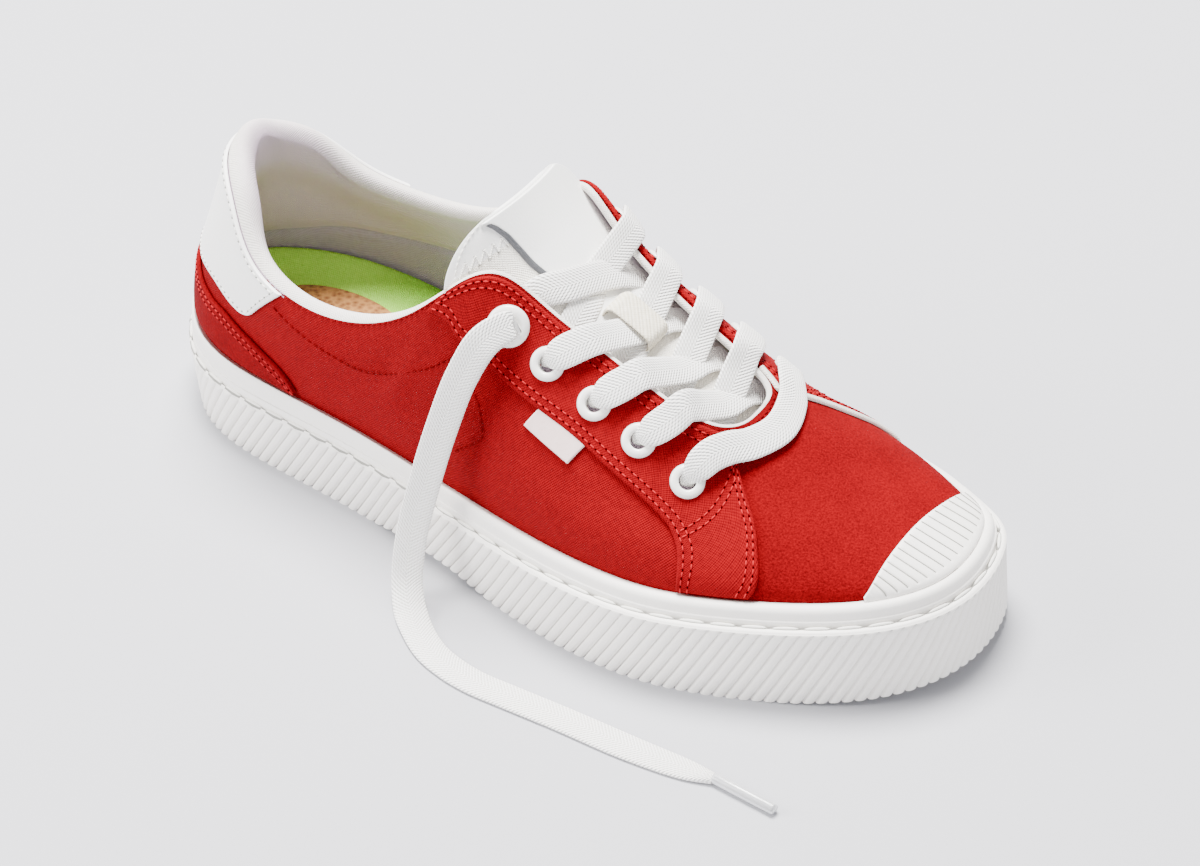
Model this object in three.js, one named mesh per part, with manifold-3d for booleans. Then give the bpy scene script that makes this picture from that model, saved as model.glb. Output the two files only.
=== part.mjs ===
// A right low-top canvas sneaker with a ribbed rubber cup sole and flat laces.
// Millimetres, +Z up, +X towards the toe, -Y towards the lateral side.
// The last is drawn from the back of the heel at x = 0; the group then moves
// the origin to the bottom centre of the shoe's box.
import * as THREE from 'three';
import { mergeVertices } from 'three/addons/utils/BufferGeometryUtils.js';
import Module from 'manifold-3d';

const wasm = await Module();
wasm.setup();

// Driving sizes
const SOLE_LENGTH = 292; // heel to toe at the ground
const BALL_WIDTH = 110; // widest part of the tread
const SIDEWALL_HEIGHT = 34.6; // cup wall at the toe
const EDGE_HEIGHT = 103; // throat edge at the top eyelet
const UPPER_WALL = 2.2; // canvas with its lining
const COLLAR_PAD = 8.5; // padded collar at the back of the heel
const OVERLAY_THICKNESS = 1.2; // suede, leather and rubber laid on the upper
const CLEARANCE = 0.3; // between pieces that touch
const OVERLAY_LIFT = 0.28; // more under an overlay, for its facets
const SEAT_GAP = 1.0; // cup lip outside the upper's face
const RIB_PITCH = 3.9;
const RIB_DEPTH = 0.9;
const RIB_SLANT = 9; // how far a rib leans along the wall
const TOE_SPRING = 4.5;
const ARCH_RISE = 2;
const TREAD_GROOVE_WIDTH = 4;
const TREAD_GROOVE_DEPTH = 1.6;
const INSOLE_HEEL = 10.5;
const INSOLE_FOREFOOT = 5;
const INSOLE_CUP = 4; // how much its heel edge turns up
const TONGUE_THICKNESS = 4.5;
const LACE_WIDTH = 9.5;
const LACE_THICKNESS = 1.5;
const EYELET_RADIUS = 5.4;
const TOP_EYELET_RADIUS = 6.6;
const EYELET_HOLE = 3;
const EYELET_HEIGHT = 1.3;
const KEEPER_WIDTH = 8;
const KEEPER_THICKNESS = 1.2;
const KEEPER_REACH = [161.6, 176.9]; // along the tongue, from the heel
const KEEPER_SIDE = -2.5; // to the lateral side of the middle
const KEEPER_LIFT = 5.3; // over the lace
const AGLET_RADIUS = 1.75;

// Label from under the lateral eyestay's lower edge, by its lower border and
// its upper one
const LABEL = [
  border(0.652, 0.5, 0.664, 0.59),
  border(0.709, 0.47, 0.719, 0.572),
];

// Counts of facets
const WALL_COLUMNS = 60;
const OUTLINE_SAMPLES = 1600;

// Tread outline: along in sole lengths; lateral and medial in ball widths
const OUTLINE = [
  { along: 0.0, lateral: 0.0, medial: 0.0 },
  { along: 0.02, lateral: 0.13, medial: 0.15 },
  { along: 0.06, lateral: 0.24, medial: 0.244 },
  { along: 0.12, lateral: 0.311, medial: 0.307 },
  { along: 0.2, lateral: 0.346, medial: 0.333 },
  { along: 0.3, lateral: 0.377, medial: 0.323 },
  { along: 0.4, lateral: 0.428, medial: 0.309 },
  { along: 0.5, lateral: 0.494, medial: 0.324 },
  { along: 0.6, lateral: 0.55, medial: 0.37 },
  { along: 0.7, lateral: 0.561, medial: 0.424 },
  { along: 0.78, lateral: 0.514, medial: 0.444 },
  { along: 0.86, lateral: 0.428, medial: 0.424 },
  { along: 0.93, lateral: 0.317, medial: 0.355 },
  { along: 0.98, lateral: 0.169, medial: 0.251 },
  { along: 1.0, lateral: -0.03, medial: 0.03 },
];

// Cup wall along the sole: heights and outward steps in sidewall heights
const SIDEWALL = [
  { along: 0.0, ribTop: 0.63, ribOut: 0.058, lipTop: 0.971, lipOut: -0.017, floor: 0.69 },
  { along: 0.33, ribTop: 0.665, ribOut: 0.046, lipTop: 0.948, lipOut: -0.026, floor: 0.58 },
  { along: 0.66, ribTop: 0.711, ribOut: 0.012, lipTop: 0.905, lipOut: -0.185, floor: 0.45 },
  { along: 1.0, ribTop: 0.82, ribOut: -0.04, lipTop: 1.0, lipOut: -0.243, floor: 0.52 },
];

// Section of the cup above its ribs: shares of the way in and up to its lip
const BAND_SECTION = [
  { inward: 0.14, up: 0.1 },
  { inward: 0.27, up: 0.12 },
  { inward: 0.33, up: -0.03 },
  { inward: 0.4, up: 0.02 },
  { inward: 0.43, up: 0.4 },
  { inward: 0.52, up: 0.5 },
  { inward: 0.58, up: 0.8 },
  { inward: 0.76, up: 0.98 },
  { inward: 1.0, up: 1.0 },
];

// Upper from the back of the heel to the front of the throat. feather is the
// share of the half outline where a row starts; the edge is the row's top.
// Lengths: along in sole lengths; lateral, medial, lean and swell in ball
// widths; height, rise and drop in edge heights; pad in collar pads.
// Both sides swell from the lateral edge's distance, so the medial edge can
// lie nearer the middle.
const UPPER_ROWS = [
  row(0.0, 0.0685, 0.0, 0.0, 0.942, 0.223, 0.005, -0.009, 0.15, 1.0),
  row(0.075, 0.0822, 0.109, 0.109, 0.922, 0.223, -0.009, 0.032, 0.141, 1.0),
  row(0.13, 0.118, 0.209, 0.2, 0.854, 0.194, 0.005, 0.018, 0.136, 0.95),
  row(0.185, 0.161, 0.282, 0.264, 0.733, 0.136, 0.018, 0.032, 0.117, 0.8),
  row(0.25, 0.233, 0.327, 0.309, 0.678, 0.117, 0.023, 0.036, 0.117, 0.68),
  row(0.31, 0.312, 0.341, 0.314, 0.709, 0.126, 0.018, 0.036, 0.126, 0.64),
  row(0.37, 0.384, 0.336, 0.305, 0.825, 0.155, 0.014, 0.041, 0.136, 0.5),
  row(0.42, 0.438, 0.286, 0.268, 0.968, 0.214, 0.009, 0.073, 0.155, 0.3),
  row(0.464, 0.479, 0.232, 0.222, 0.99, 0.233, 0.009, 0.109, 0.146, 0.26),
  row(0.51, 0.529, 0.205, 0.186, 0.895, 0.204, 0.009, 0.127, 0.131, 0.26),
  row(0.57, 0.603, 0.2, 0.141, 0.802, 0.18, 0.009, 0.136, 0.131, 0.26),
  row(0.64, 0.675, 0.195, 0.118, 0.718, 0.131, 0.009, 0.141, 0.155, 0.26),
  row(0.73, 0.716, 0.155, 0.1, 0.665, 0.078, 0.009, 0.168, 0.184, 0.26),
  row(0.85, 0.733, 0.095, 0.05, 0.649, 0.044, 0.005, 0.245, 0.175, 0.26),
  row(1.0, 0.736, 0.03, -0.03, 0.646, 0.019, 0.0, 0.282, 0.18, 0.26),
];

// Overlays. station runs 0 at the heel, 1 at the toe; up runs 0 at the cup's
// lip, 1 at the upper's edge. a is one border of the piece and b the other.
const HEEL_TAB = [
  border(0.0, 0.315, 0.0, 0.985),
  border(0.06, 0.34, 0.07, 0.985),
  border(0.116, 0.385, 0.13, 0.985),
  border(0.169, 0.425, 0.195, 0.985),
  border(0.212, 0.5, 0.262, 0.985),
];
const HEEL_COUNTER = [
  border(0.0, 0.03, 0.0, 0.27),
  border(0.06, 0.03, 0.06, 0.265),
  border(0.129, 0.03, 0.129, 0.27),
  border(0.185, 0.03, 0.18, 0.32),
  border(0.235, 0.03, 0.225, 0.345),
  border(0.272, 0.03, 0.26, 0.32),
];
const EYESTAY = [
  border(0.452, 0.94, 0.47, 0.985),
  border(0.49, 0.8, 0.5, 0.985),
  border(0.533, 0.655, 0.535, 0.985),
  border(0.623, 0.6, 0.61, 0.985),
  border(0.69, 0.6, 0.68, 0.985),
  border(0.75, 0.57, 0.75, 0.985),
  border(0.795, 0.535, 0.83, 0.985),
  border(0.82, 0.47, 0.905, 0.96),
  border(0.831, 0.34, 0.911, 0.7),
  border(0.833, 0.18, 0.897, 0.42),
  border(0.833, 0.03, 0.88, 0.03),
];
const TOE_CAP_HALF = 0.061; // stations each side of the toe
const TOE_CAP_UP = 0.41;
const TOE_CAP_SWEEP = 78; // degrees each way of its back edge's arc

// Eyelets, top one first
const EYELETS = [
  { station: 0.6, up: 0.81 },
  { station: 0.66, up: 0.795 },
  { station: 0.715, up: 0.78 },
  { station: 0.765, up: 0.77 },
  { station: 0.827, up: 0.73 },
];

// Tongue from under the vamp to its top. along in sole lengths; height and
// bend in edge heights; half and side in ball widths; thick in tongue
// thicknesses. bend is how far its borders fall and side where its middle is.
const TONGUE = [
  { along: 0.764, height: 0.536, half: 0.15, bend: 0.05, side: -0.027, thick: 0.45 },
  { along: 0.736, height: 0.588, half: 0.18, bend: 0.07, side: -0.027, thick: 0.55 },
  { along: 0.7, height: 0.638, half: 0.21, bend: 0.09, side: -0.027, thick: 0.7 },
  { along: 0.65, height: 0.706, half: 0.235, bend: 0.11, side: -0.027, thick: 0.9 },
  { along: 0.603, height: 0.769, half: 0.25, bend: 0.115, side: -0.024, thick: 1.0 },
  { along: 0.548, height: 0.851, half: 0.25, bend: 0.12, side: -0.018, thick: 1.0 },
  { along: 0.507, height: 0.953, half: 0.242, bend: 0.115, side: -0.01, thick: 1.0 },
  { along: 0.479, height: 1.026, half: 0.238, bend: 0.11, side: -0.005, thick: 1.0 },
  { along: 0.457, height: 1.099, half: 0.235, bend: 0.1, side: -0.005, thick: 1.0 },
  { along: 0.442, height: 1.157, half: 0.22, bend: 0.085, side: -0.005, thick: 0.9 },
  { along: 0.436, height: 1.182, half: 0.175, bend: 0.055, side: -0.005, thick: 0.7 },
];

// Loose end of the lace from the top lateral eyelet down to the floor,
// chosen by hand; x, y, z from the back of the heel
const LACE_END = [
  [146.4, -33.6, 92],
  [142, -41, 89],
  [137.5, -47, 78],
  [133, -52.5, 60],
  [129.5, -57.5, 41.5],
  [126.5, -62, 22],
  [127, -66.5, 7],
  [131, -71.5, 2.6],
  [137, -77, 1.1],
  [148, -84.4, 0.8],
  [158, -87.8, 0.8],
  [168, -89.3, 0.8],
  [180, -89.2, 0.8],
  [200, -88.8, 0.8],
  [224, -88.8, 0.8],
  [244, -87.8, 0.8],
  [252.5, -87.2, 0.8],
];
const AGLET_TIP = [274.9, -89.3];
const LACE_HANG = [0.25, -0.93, 0.28]; // way its face looks while it hangs
const LACE_LAY = [64, 78]; // it turns flat between these distances out

// Colours of the finished surfaces
const RED_CANVAS = '#c4151f';
const RED_SUEDE = '#c8191d';
const WHITE_RUBBER = '#e8e7e3';
const WHITE_LEATHER = '#efeeeb';
const CREAM_CANVAS = '#efebe0';
const WEBBING = '#ede6d3';
const GREEN_CLOTH = '#86be3a';
const LACE_WHITE = '#f2f0ec';
const ENAMEL = '#f4f2ee';
const LABEL_PINK = '#f3d9d5';
const CLEAR_GREY = '#cfcfd1';

function row(feather, along, lateral, medial, height, rise, lean, swell, drop, pad) {
  return { feather, along, lateral, medial, height, rise, lean, swell, drop, pad };
}

function border(stationA, upA, stationB, upB) {
  return { stationA, upA, stationB, upB };
}

// Small mathematics
function mix(a, b, t) {
  return a + (b - a) * t;
}

function ease(from, to, value) {
  const t = Math.min(Math.max((value - from) / (to - from), 0), 1);
  return t * t * (3 - 2 * t);
}

// Closed cubic spline through rows of numbers at 0, 1, 2 ...
function closedSpline(rows) {
  const n = rows.length;
  const width = rows[0].length;
  let bends = rows.map(() => new Array(width).fill(0));
  for (let pass = 0; pass < 60; pass++) {
    bends = bends.map((_, i) => {
      const before = (i + n - 1) % n;
      const after = (i + 1) % n;
      return rows[i].map((value, k) => {
        const pull = 6 * (rows[after][k] - 2 * value + rows[before][k]);
        return (pull - bends[before][k] - bends[after][k]) / 4;
      });
    });
  }
  return (t) => {
    const place = ((t % n) + n) % n;
    const i = Math.floor(place) % n;
    const j = (i + 1) % n;
    const f = place - Math.floor(place);
    const g = 1 - f;
    return rows[i].map((value, k) => {
      const bend = (g ** 3 - g) * bends[i][k] + (f ** 3 - f) * bends[j][k];
      return g * value + f * rows[j][k] + bend / 6;
    });
  };
}

// Smooth curve through a table's column that never overshoots its rows
function tableCurve(table, key, column) {
  const x = table.map((r) => r[key]);
  const y = table.map((r) => r[column]);
  const slopes = x.slice(1).map((v, i) => (y[i + 1] - y[i]) / (v - x[i]));
  const lean = y.map((_, i) => {
    const before = slopes[Math.max(i - 1, 0)];
    const after = slopes[Math.min(i, slopes.length - 1)];
    return before * after <= 0 ? 0 : (2 * before * after) / (before + after);
  });
  return (value) => {
    const v = Math.min(Math.max(value, x[0]), x[x.length - 1]);
    let i = 0;
    while (i < x.length - 2 && v > x[i + 1]) i++;
    const h = x[i + 1] - x[i];
    const t = (v - x[i]) / h;
    const rise = (3 - 2 * t) * t * t;
    const tangents = lean[i] * t * (1 - t) ** 2 - lean[i + 1] * t * t * (1 - t);
    return mix(y[i], y[i + 1], rise) + h * tangents;
  };
}

// Tread outline as a function of turn: 0 heel, 1 toe by the lateral side,
// 2 heel again by the medial side, in equal steps of length on each half
function makeOutline() {
  const lateral = OUTLINE.map((r) => [r.along * SOLE_LENGTH, -r.lateral * BALL_WIDTH]);
  const medial = OUTLINE.map((r) => [r.along * SOLE_LENGTH, r.medial * BALL_WIDTH]);
  const tip = [SOLE_LENGTH, OUTLINE[OUTLINE.length - 1].medial * BALL_WIDTH];
  const loop = [...lateral.slice(0, -1), tip, ...medial.slice(1, -1).reverse()];
  const curve = closedSpline(loop);
  const lengths = [0];
  const step = loop.length / OUTLINE_SAMPLES;
  for (let i = 1; i <= OUTLINE_SAMPLES; i++) {
    const a = curve((i - 1) * step);
    const b = curve(i * step);
    lengths.push(lengths[i - 1] + Math.hypot(b[0] - a[0], b[1] - a[1]));
  }
  const toeSample = Math.round((lateral.length - 1) / step);
  const lateralLength = lengths[toeSample];
  const medialLength = lengths[OUTLINE_SAMPLES] - lateralLength;
  const at = (turn) => {
    const w = ((turn % 2) + 2) % 2;
    const target = w <= 1 ? w * lateralLength : lateralLength + (w - 1) * medialLength;
    let low = 0;
    let high = OUTLINE_SAMPLES;
    while (high - low > 1) {
      const middle = (low + high) >> 1;
      if (lengths[middle] > target) high = middle;
      else low = middle;
    }
    const share = (target - lengths[low]) / (lengths[high] - lengths[low]);
    const t = (low + share) * step;
    const p = curve(t);
    const before = curve(t - 0.001);
    const after = curve(t + 0.001);
    const size = Math.hypot(after[0] - before[0], after[1] - before[1]);
    const out = [(after[1] - before[1]) / size, -(after[0] - before[0]) / size];
    return { x: p[0], y: p[1], out, along: p[0] / SOLE_LENGTH };
  };
  return { at, lateralLength, medialLength };
}

const outline = makeOutline();
const ribTop = tableCurve(SIDEWALL, 'along', 'ribTop');
const ribOut = tableCurve(SIDEWALL, 'along', 'ribOut');
const lipTop = tableCurve(SIDEWALL, 'along', 'lipTop');
const lipOut = tableCurve(SIDEWALL, 'along', 'lipOut');
const cupFloor = tableCurve(SIDEWALL, 'along', 'floor');

function groundHeight(along) {
  const spring = TOE_SPRING * Math.min(Math.max((along - 0.8) / 0.2, 0), 1) ** 2;
  const arch = ARCH_RISE * ease(0.32, 0.4, along) * (1 - ease(0.44, 0.53, along));
  return spring + arch;
}

// A point beside the outline, at a distance outwards and a height
function beside(turn, outward, height) {
  const p = outline.at(turn);
  return [p.x + p.out[0] * outward, p.y + p.out[1] * outward, height];
}

// Upper's outer face
const upperTable = makeUpperTable();

function makeUpperTable() {
  const half = UPPER_ROWS.length - 1;
  const numbers = (r, side, index) => [
    (side < 0 ? r.feather : 2 - r.feather) - index / half,
    r.along * SOLE_LENGTH,
    side * (side < 0 ? r.lateral : r.medial) * BALL_WIDTH,
    r.height * EDGE_HEIGHT,
    r.rise * EDGE_HEIGHT,
    r.lean * BALL_WIDTH,
    r.swell * BALL_WIDTH,
    r.drop * EDGE_HEIGHT,
    r.pad * COLLAR_PAD,
    side * r.lateral * BALL_WIDTH,
  ];
  const lateral = UPPER_ROWS.map((r, i) => numbers(r, -1, i));
  const medial = UPPER_ROWS.map((r, i) => numbers(r, 1, 2 * half - i));
  const curve = closedSpline([...lateral, ...medial.slice(1, -1).reverse()]);
  return (station) => curve(station * half);
}

function featherTurn(station) {
  return upperTable(station)[0] + station;
}

function upperFace(station, up) {
  const t = upperTable(station);
  const p = outline.at(t[0] + station);
  const foot = lipOut(p.along) * SIDEWALL_HEIGHT - SEAT_GAP - CLEARANCE;
  const start = [p.x + p.out[0] * foot, p.y + p.out[1] * foot, lipTop(p.along) * SIDEWALL_HEIGHT];
  const end = [t[1], t[2], t[3]];
  const first = [start[0] + p.out[0] * t[5], start[1] + p.out[1] * t[5], start[2] + t[4]];
  const second = [end[0] + p.out[0] * t[6], t[9] + p.out[1] * t[6], end[2] - t[7]];
  const g = 1 - up;
  return start.map((value, k) => {
    const ends = g ** 3 * value + up ** 3 * end[k];
    return ends + 3 * g * g * up * first[k] + 3 * g * up * up * second[k];
  });
}

// A point of the upper moved along its outward normal
function upperPoint(station, up, outward = 0) {
  const p = upperFace(station, up);
  if (outward === 0) return p;
  const n = upperNormal(station, up);
  return p.map((value, k) => value + n[k] * outward);
}

function upperNormal(station, up) {
  const e = 0.001;
  const back = upperFace(station - e, up);
  const ahead = upperFace(station + e, up);
  const below = upperFace(station, Math.max(up - e, 0));
  const above = upperFace(station, Math.min(up + e, 1));
  const along = new THREE.Vector3(...ahead).sub(new THREE.Vector3(...back));
  const rise = new THREE.Vector3(...above).sub(new THREE.Vector3(...below));
  return along.cross(rise).normalize().toArray();
}

// Wall and lining thickness, padded towards the collar
function wallThickness(station, up) {
  const pad = Math.max(upperTable(station)[8], UPPER_WALL);
  return mix(UPPER_WALL, pad, ease(0.4, 0.85, up));
}

// Solids are gathered as points and triangles
class Solid {
  constructor() {
    this.points = [];
    this.faces = [];
  }

  // A closed loop of points, each with its place on the loop in turns
  ring(turns, place) {
    const ids = turns.map((turn) => this.points.push(place(turn)) - 1);
    return { ids, turns };
  }

  line(points) {
    return points.map((p) => this.points.push(p) - 1);
  }

  // Triangles between two loops that may have different counts
  join(lower, upper) {
    const a = startAtZero(lower);
    const b = startAtZero(upper);
    let i = 0;
    let j = 0;
    const turnOf = (r, k) => r.turns[k % r.ids.length] + 2 * Math.floor(k / r.ids.length);
    while (i < a.ids.length || j < b.ids.length) {
      const stepA = i < a.ids.length;
      const first = stepA && (j >= b.ids.length || turnOf(a, i + 1) <= turnOf(b, j + 1));
      const ai = a.ids[i % a.ids.length];
      const bj = b.ids[j % b.ids.length];
      if (first) {
        this.faces.push([ai, a.ids[(i + 1) % a.ids.length], bj]);
        i++;
      } else {
        this.faces.push([ai, b.ids[(j + 1) % b.ids.length], bj]);
        j++;
      }
    }
  }

  // Quads between two loops of equal counts, point to point
  wrap(lower, upper) {
    const n = lower.ids.length;
    for (let i = 0; i < n; i++) {
      const j = (i + 1) % n;
      this.quad(lower.ids[i], lower.ids[j], upper.ids[j], upper.ids[i]);
    }
  }

  quad(a, b, c, d) {
    this.faces.push([a, b, c], [a, c, d]);
  }

  // Closes a symmetric loop by strips from its lateral to its medial half
  cap(ring, facingUp) {
    const n = ring.ids.length;
    const half = n / 2;
    for (let i = 0; i < half; i++) {
      const a = ring.ids[i];
      const b = ring.ids[i + 1];
      const c = ring.ids[(n - i - 1) % n];
      const d = ring.ids[(n - i) % n];
      const faces = i === 0 ? [[a, b, c]] : i === half - 1 ? [[a, b, d]] : [[a, b, c], [a, c, d]];
      for (const f of faces) this.faces.push(facingUp ? f : [f[0], f[2], f[1]]);
    }
  }

  geometry() {
    const g = new THREE.BufferGeometry();
    g.setAttribute('position', new THREE.Float32BufferAttribute(this.points.flat(), 3));
    g.setIndex(this.faces.flat());
    return g;
  }
}

function startAtZero(ring) {
  const pairs = ring.ids.map((id, i) => ({ id, turn: ((ring.turns[i] % 2) + 2) % 2 }));
  pairs.sort((p, q) => p.turn - q.turn);
  return { ids: pairs.map((p) => p.id), turns: pairs.map((p) => p.turn) };
}

// A closed plate between two heights over a surface place(s, t, height)
function plate(place, low, high, lengthSteps, widthSteps, bevel = 0.35) {
  const solid = new Solid();
  const layer = (height, inset) => {
    const lines = [];
    for (let i = 0; i <= lengthSteps; i++) {
      const s = mix(inset, 1 - inset, i / lengthSteps);
      const line = [];
      for (let j = 0; j <= widthSteps; j++) {
        line.push(place(s, mix(inset, 1 - inset, j / widthSteps), height));
      }
      lines.push(solid.line(line));
    }
    return lines;
  };
  const under = layer(low, 0);
  const over = layer(high, 0.5 * bevel / Math.max(lengthSteps, widthSteps));
  for (let i = 0; i < lengthSteps; i++) {
    for (let j = 0; j < widthSteps; j++) {
      solid.quad(over[i][j], over[i + 1][j], over[i + 1][j + 1], over[i][j + 1]);
      solid.quad(under[i][j], under[i][j + 1], under[i + 1][j + 1], under[i + 1][j]);
    }
    solid.quad(under[i][0], under[i + 1][0], over[i + 1][0], over[i][0]);
    solid.quad(over[i][widthSteps], over[i + 1][widthSteps], under[i + 1][widthSteps], under[i][widthSteps]);
  }
  for (let j = 0; j < widthSteps; j++) {
    solid.quad(under[0][j + 1], under[0][j], over[0][j], over[0][j + 1]);
    const end = lengthSteps;
    solid.quad(under[end][j], under[end][j + 1], over[end][j + 1], over[end][j]);
  }
  return solid.geometry();
}

// Turns a closed geometry into a solid that can be cut, and back
function toManifold(geometry) {
  const plain = geometry.clone();
  plain.deleteAttribute('normal');
  plain.deleteAttribute('uv');
  const merged = mergeVertices(plain, 1e-4);
  return new wasm.Manifold(new wasm.Mesh({
    numProp: 3,
    vertProperties: new Float32Array(merged.attributes.position.array),
    triVerts: new Uint32Array(merged.index.array),
  }));
}

function fromManifold(manifold) {
  const mesh = manifold.getMesh();
  const g = new THREE.BufferGeometry();
  g.setAttribute('position', new THREE.BufferAttribute(mesh.vertProperties, 3));
  g.setIndex(new THREE.BufferAttribute(mesh.triVerts, 1));
  return g;
}

function piece(name, geometry, color, roughness = 0.8) {
  const material = new THREE.MeshStandardMaterial({ color, roughness, metalness: 0 });
  const mesh = new THREE.Mesh(geometry, material);
  mesh.name = name;
  return mesh;
}

function evenTurns(count) {
  return Array.from({ length: count }, (_, i) => (2 * i) / count);
}

// Stations whose feet are evenly spaced along the outline
function evenStations(count) {
  return evenTurns(count).map((turn) => {
    let low = -0.2;
    let high = 2.2;
    for (let i = 0; i < 40; i++) {
      const middle = (low + high) / 2;
      if (featherTurn(middle) > turn) high = middle;
      else low = middle;
    }
    return (low + high) / 2;
  });
}

// Rubber cup sole: ribbed wall, stitched groove, stepped band and tread
function cupSole() {
  const solid = new Solid();
  const ribs = Math.round((outline.lateralLength + outline.medialLength) / RIB_PITCH);
  const ribTurns = evenTurns(2 * ribs);
  const slant = RIB_SLANT / outline.lateralLength;
  const depth = (i) => (i % 2 === 0 ? 0 : -RIB_DEPTH);
  const columns = evenTurns(WALL_COLUMNS);
  const ground = (turn) => groundHeight(outline.at(turn).along);
  const foot = ribRing(solid, ribTurns, depth, (p) => [0, groundHeight(p.along)]);
  const top = ribRing(solid, ribTurns.map((t) => t + slant), depth, (p) => [
    ribOut(p.along) * SIDEWALL_HEIGHT,
    ribTop(p.along) * SIDEWALL_HEIGHT,
  ]);
  solid.wrap(foot, top);
  let last = top;
  for (const { inward, up } of BAND_SECTION) {
    const ring = solid.ring(columns, (turn) => {
      const { along } = outline.at(turn);
      const out = mix(ribOut(along), lipOut(along), inward) * SIDEWALL_HEIGHT;
      return beside(turn, out, mix(ribTop(along), lipTop(along), up) * SIDEWALL_HEIGHT);
    });
    solid.join(last, ring);
    last = ring;
  }
  for (const height of [(along) => lipTop(along) * SIDEWALL_HEIGHT - SEAT_GAP / 2, floorHeight]) {
    const ring = solid.ring(columns, (turn) => {
      const { along } = outline.at(turn);
      return beside(turn, lipOut(along) * SIDEWALL_HEIGHT - SEAT_GAP, height(along));
    });
    solid.join(last, ring);
    last = ring;
  }
  solid.cap(last, true);
  const rim = solid.ring(columns, (turn) => beside(turn, -SEAT_GAP - RIB_DEPTH, ground(turn)));
  solid.join(rim, foot);
  solid.cap(rim, false);
  return fromManifold(toManifold(solid.geometry()).subtract(treadGrooves()));
}

function ribRing(solid, turns, depth, section) {
  const order = new Map(turns.map((turn, i) => [turn, i]));
  return solid.ring(turns, (turn) => {
    const p = outline.at(turn);
    const [out, height] = section(p);
    return beside(turn, out + depth(order.get(turn)), height);
  });
}

function floorHeight(along) {
  return cupFloor(along) * SIDEWALL_HEIGHT;
}

// Grooves that part the tread into its main lugs
function treadGrooves() {
  const margin = BALL_WIDTH * 0.09;
  const zones = [
    { from: 0.06, to: 0.3, count: 6 },
    { from: 0.55, to: 0.8, count: 7 },
  ];
  let cut = null;
  for (const { from, to, count } of zones) {
    for (let i = 0; i < count; i++) {
      const along = mix(from, to, i / (count - 1));
      const bar = groove(along, margin);
      cut = cut ? cut.add(bar) : bar;
    }
  }
  return cut;
}

// One groove, a shallow chevron across the tread
function groove(along, margin) {
  const half = tableCurve(OUTLINE.slice(0, -1), 'along', 'lateral');
  const halfMedial = tableCurve(OUTLINE.slice(0, -1), 'along', 'medial');
  const left = -half(along) * BALL_WIDTH + margin;
  const right = halfMedial(along) * BALL_WIDTH - margin;
  const x = along * SOLE_LENGTH;
  const point = TREAD_GROOVE_WIDTH;
  const shape = new THREE.Shape([
    new THREE.Vector2(x, left),
    new THREE.Vector2(x + TREAD_GROOVE_WIDTH, left),
    new THREE.Vector2(x + TREAD_GROOVE_WIDTH + point, (left + right) / 2),
    new THREE.Vector2(x + TREAD_GROOVE_WIDTH, right),
    new THREE.Vector2(x, right),
    new THREE.Vector2(x + point, (left + right) / 2),
  ]);
  const bar = new THREE.ExtrudeGeometry(shape, { depth: 2 * TREAD_GROOVE_DEPTH, bevelEnabled: false });
  bar.translate(0, 0, -TREAD_GROOVE_DEPTH);
  return toManifold(bar);
}

// Moulded insole, cupped at the heel
function insole() {
  const solid = new Solid();
  const columns = evenTurns(WALL_COLUMNS / 2);
  const edge = -SEAT_GAP - 3 * CLEARANCE - UPPER_WALL;
  const thickness = (along) => mix(INSOLE_HEEL, INSOLE_FOREFOOT, ease(0.2, 0.6, along));
  const cup = (along) => INSOLE_CUP * (1 - ease(0.25, 0.5, along));
  const ring = (inset, height) => solid.ring(columns, (turn) => {
    const { along } = outline.at(turn);
    return beside(turn, lipOut(along) * SIDEWALL_HEIGHT + edge - inset, height(along));
  });
  const bed = (along) => floorHeight(along) + CLEARANCE;
  const under = ring(0, bed);
  const rim = ring(SEAT_GAP, (along) => bed(along) + thickness(along) + cup(along));
  const slope = ring(INSOLE_CUP * 2, (along) => bed(along) + thickness(along) + cup(along) / 4);
  const middle = ring(INSOLE_CUP * 4, (along) => bed(along) + thickness(along));
  solid.cap(under, false);
  solid.join(under, rim);
  solid.join(rim, slope);
  solid.join(slope, middle);
  solid.cap(middle, true);
  return solid.geometry();
}

// Hollow upper: outer face, rolled collar edge, lining and open foot
function upper() {
  const solid = new Solid();
  const stations = evenStations(WALL_COLUMNS);
  const place = (up, depth) => solid.ring(stations, (station) => (
    upperPoint(station, up, -depth(station))
  ));
  const skirt = (outer) => solid.ring(stations, (station) => {
    const turn = featherTurn(station);
    const { along } = outline.at(turn);
    const out = lipOut(along) * SIDEWALL_HEIGHT - SEAT_GAP - CLEARANCE;
    return beside(turn, out - (outer ? 0 : UPPER_WALL), floorHeight(along) + CLEARANCE);
  });
  const rings = [skirt(true)];
  for (const up of [0, 0.14, 0.3, 0.46, 0.62, 0.76, 0.89, 1]) {
    rings.push(place(up, () => 0));
  }
  rings.push(collarCrest(solid, stations, 0.3, 0.75));
  rings.push(collarCrest(solid, stations, 0.7, 0.75));
  for (const up of [0.99, 0.83, 0.62, 0.3, 0]) {
    rings.push(place(up, (station) => wallThickness(station, up)));
  }
  rings.push(skirt(false));
  rings.forEach((ring, i) => solid.wrap(ring, rings[(i + 1) % rings.length]));
  return fromManifold(punchEyelets(toManifold(solid.geometry())));
}

// A loop over the top of the padded edge; share runs from outside to inside
function collarCrest(solid, stations, share, height) {
  return solid.ring(stations, (station) => {
    const thickness = wallThickness(station, 1);
    const p = upperPoint(station, 1, -thickness * share);
    const below = upperPoint(station, 0.96, -thickness * share);
    const rise = new THREE.Vector3(...p).sub(new THREE.Vector3(...below)).normalize();
    const lift = (thickness - UPPER_WALL * 0.7) * height * (share < 0.5 ? 0.8 : 0.7);
    return p.map((value, k) => value + rise.getComponent(k) * lift);
  });
}

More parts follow.
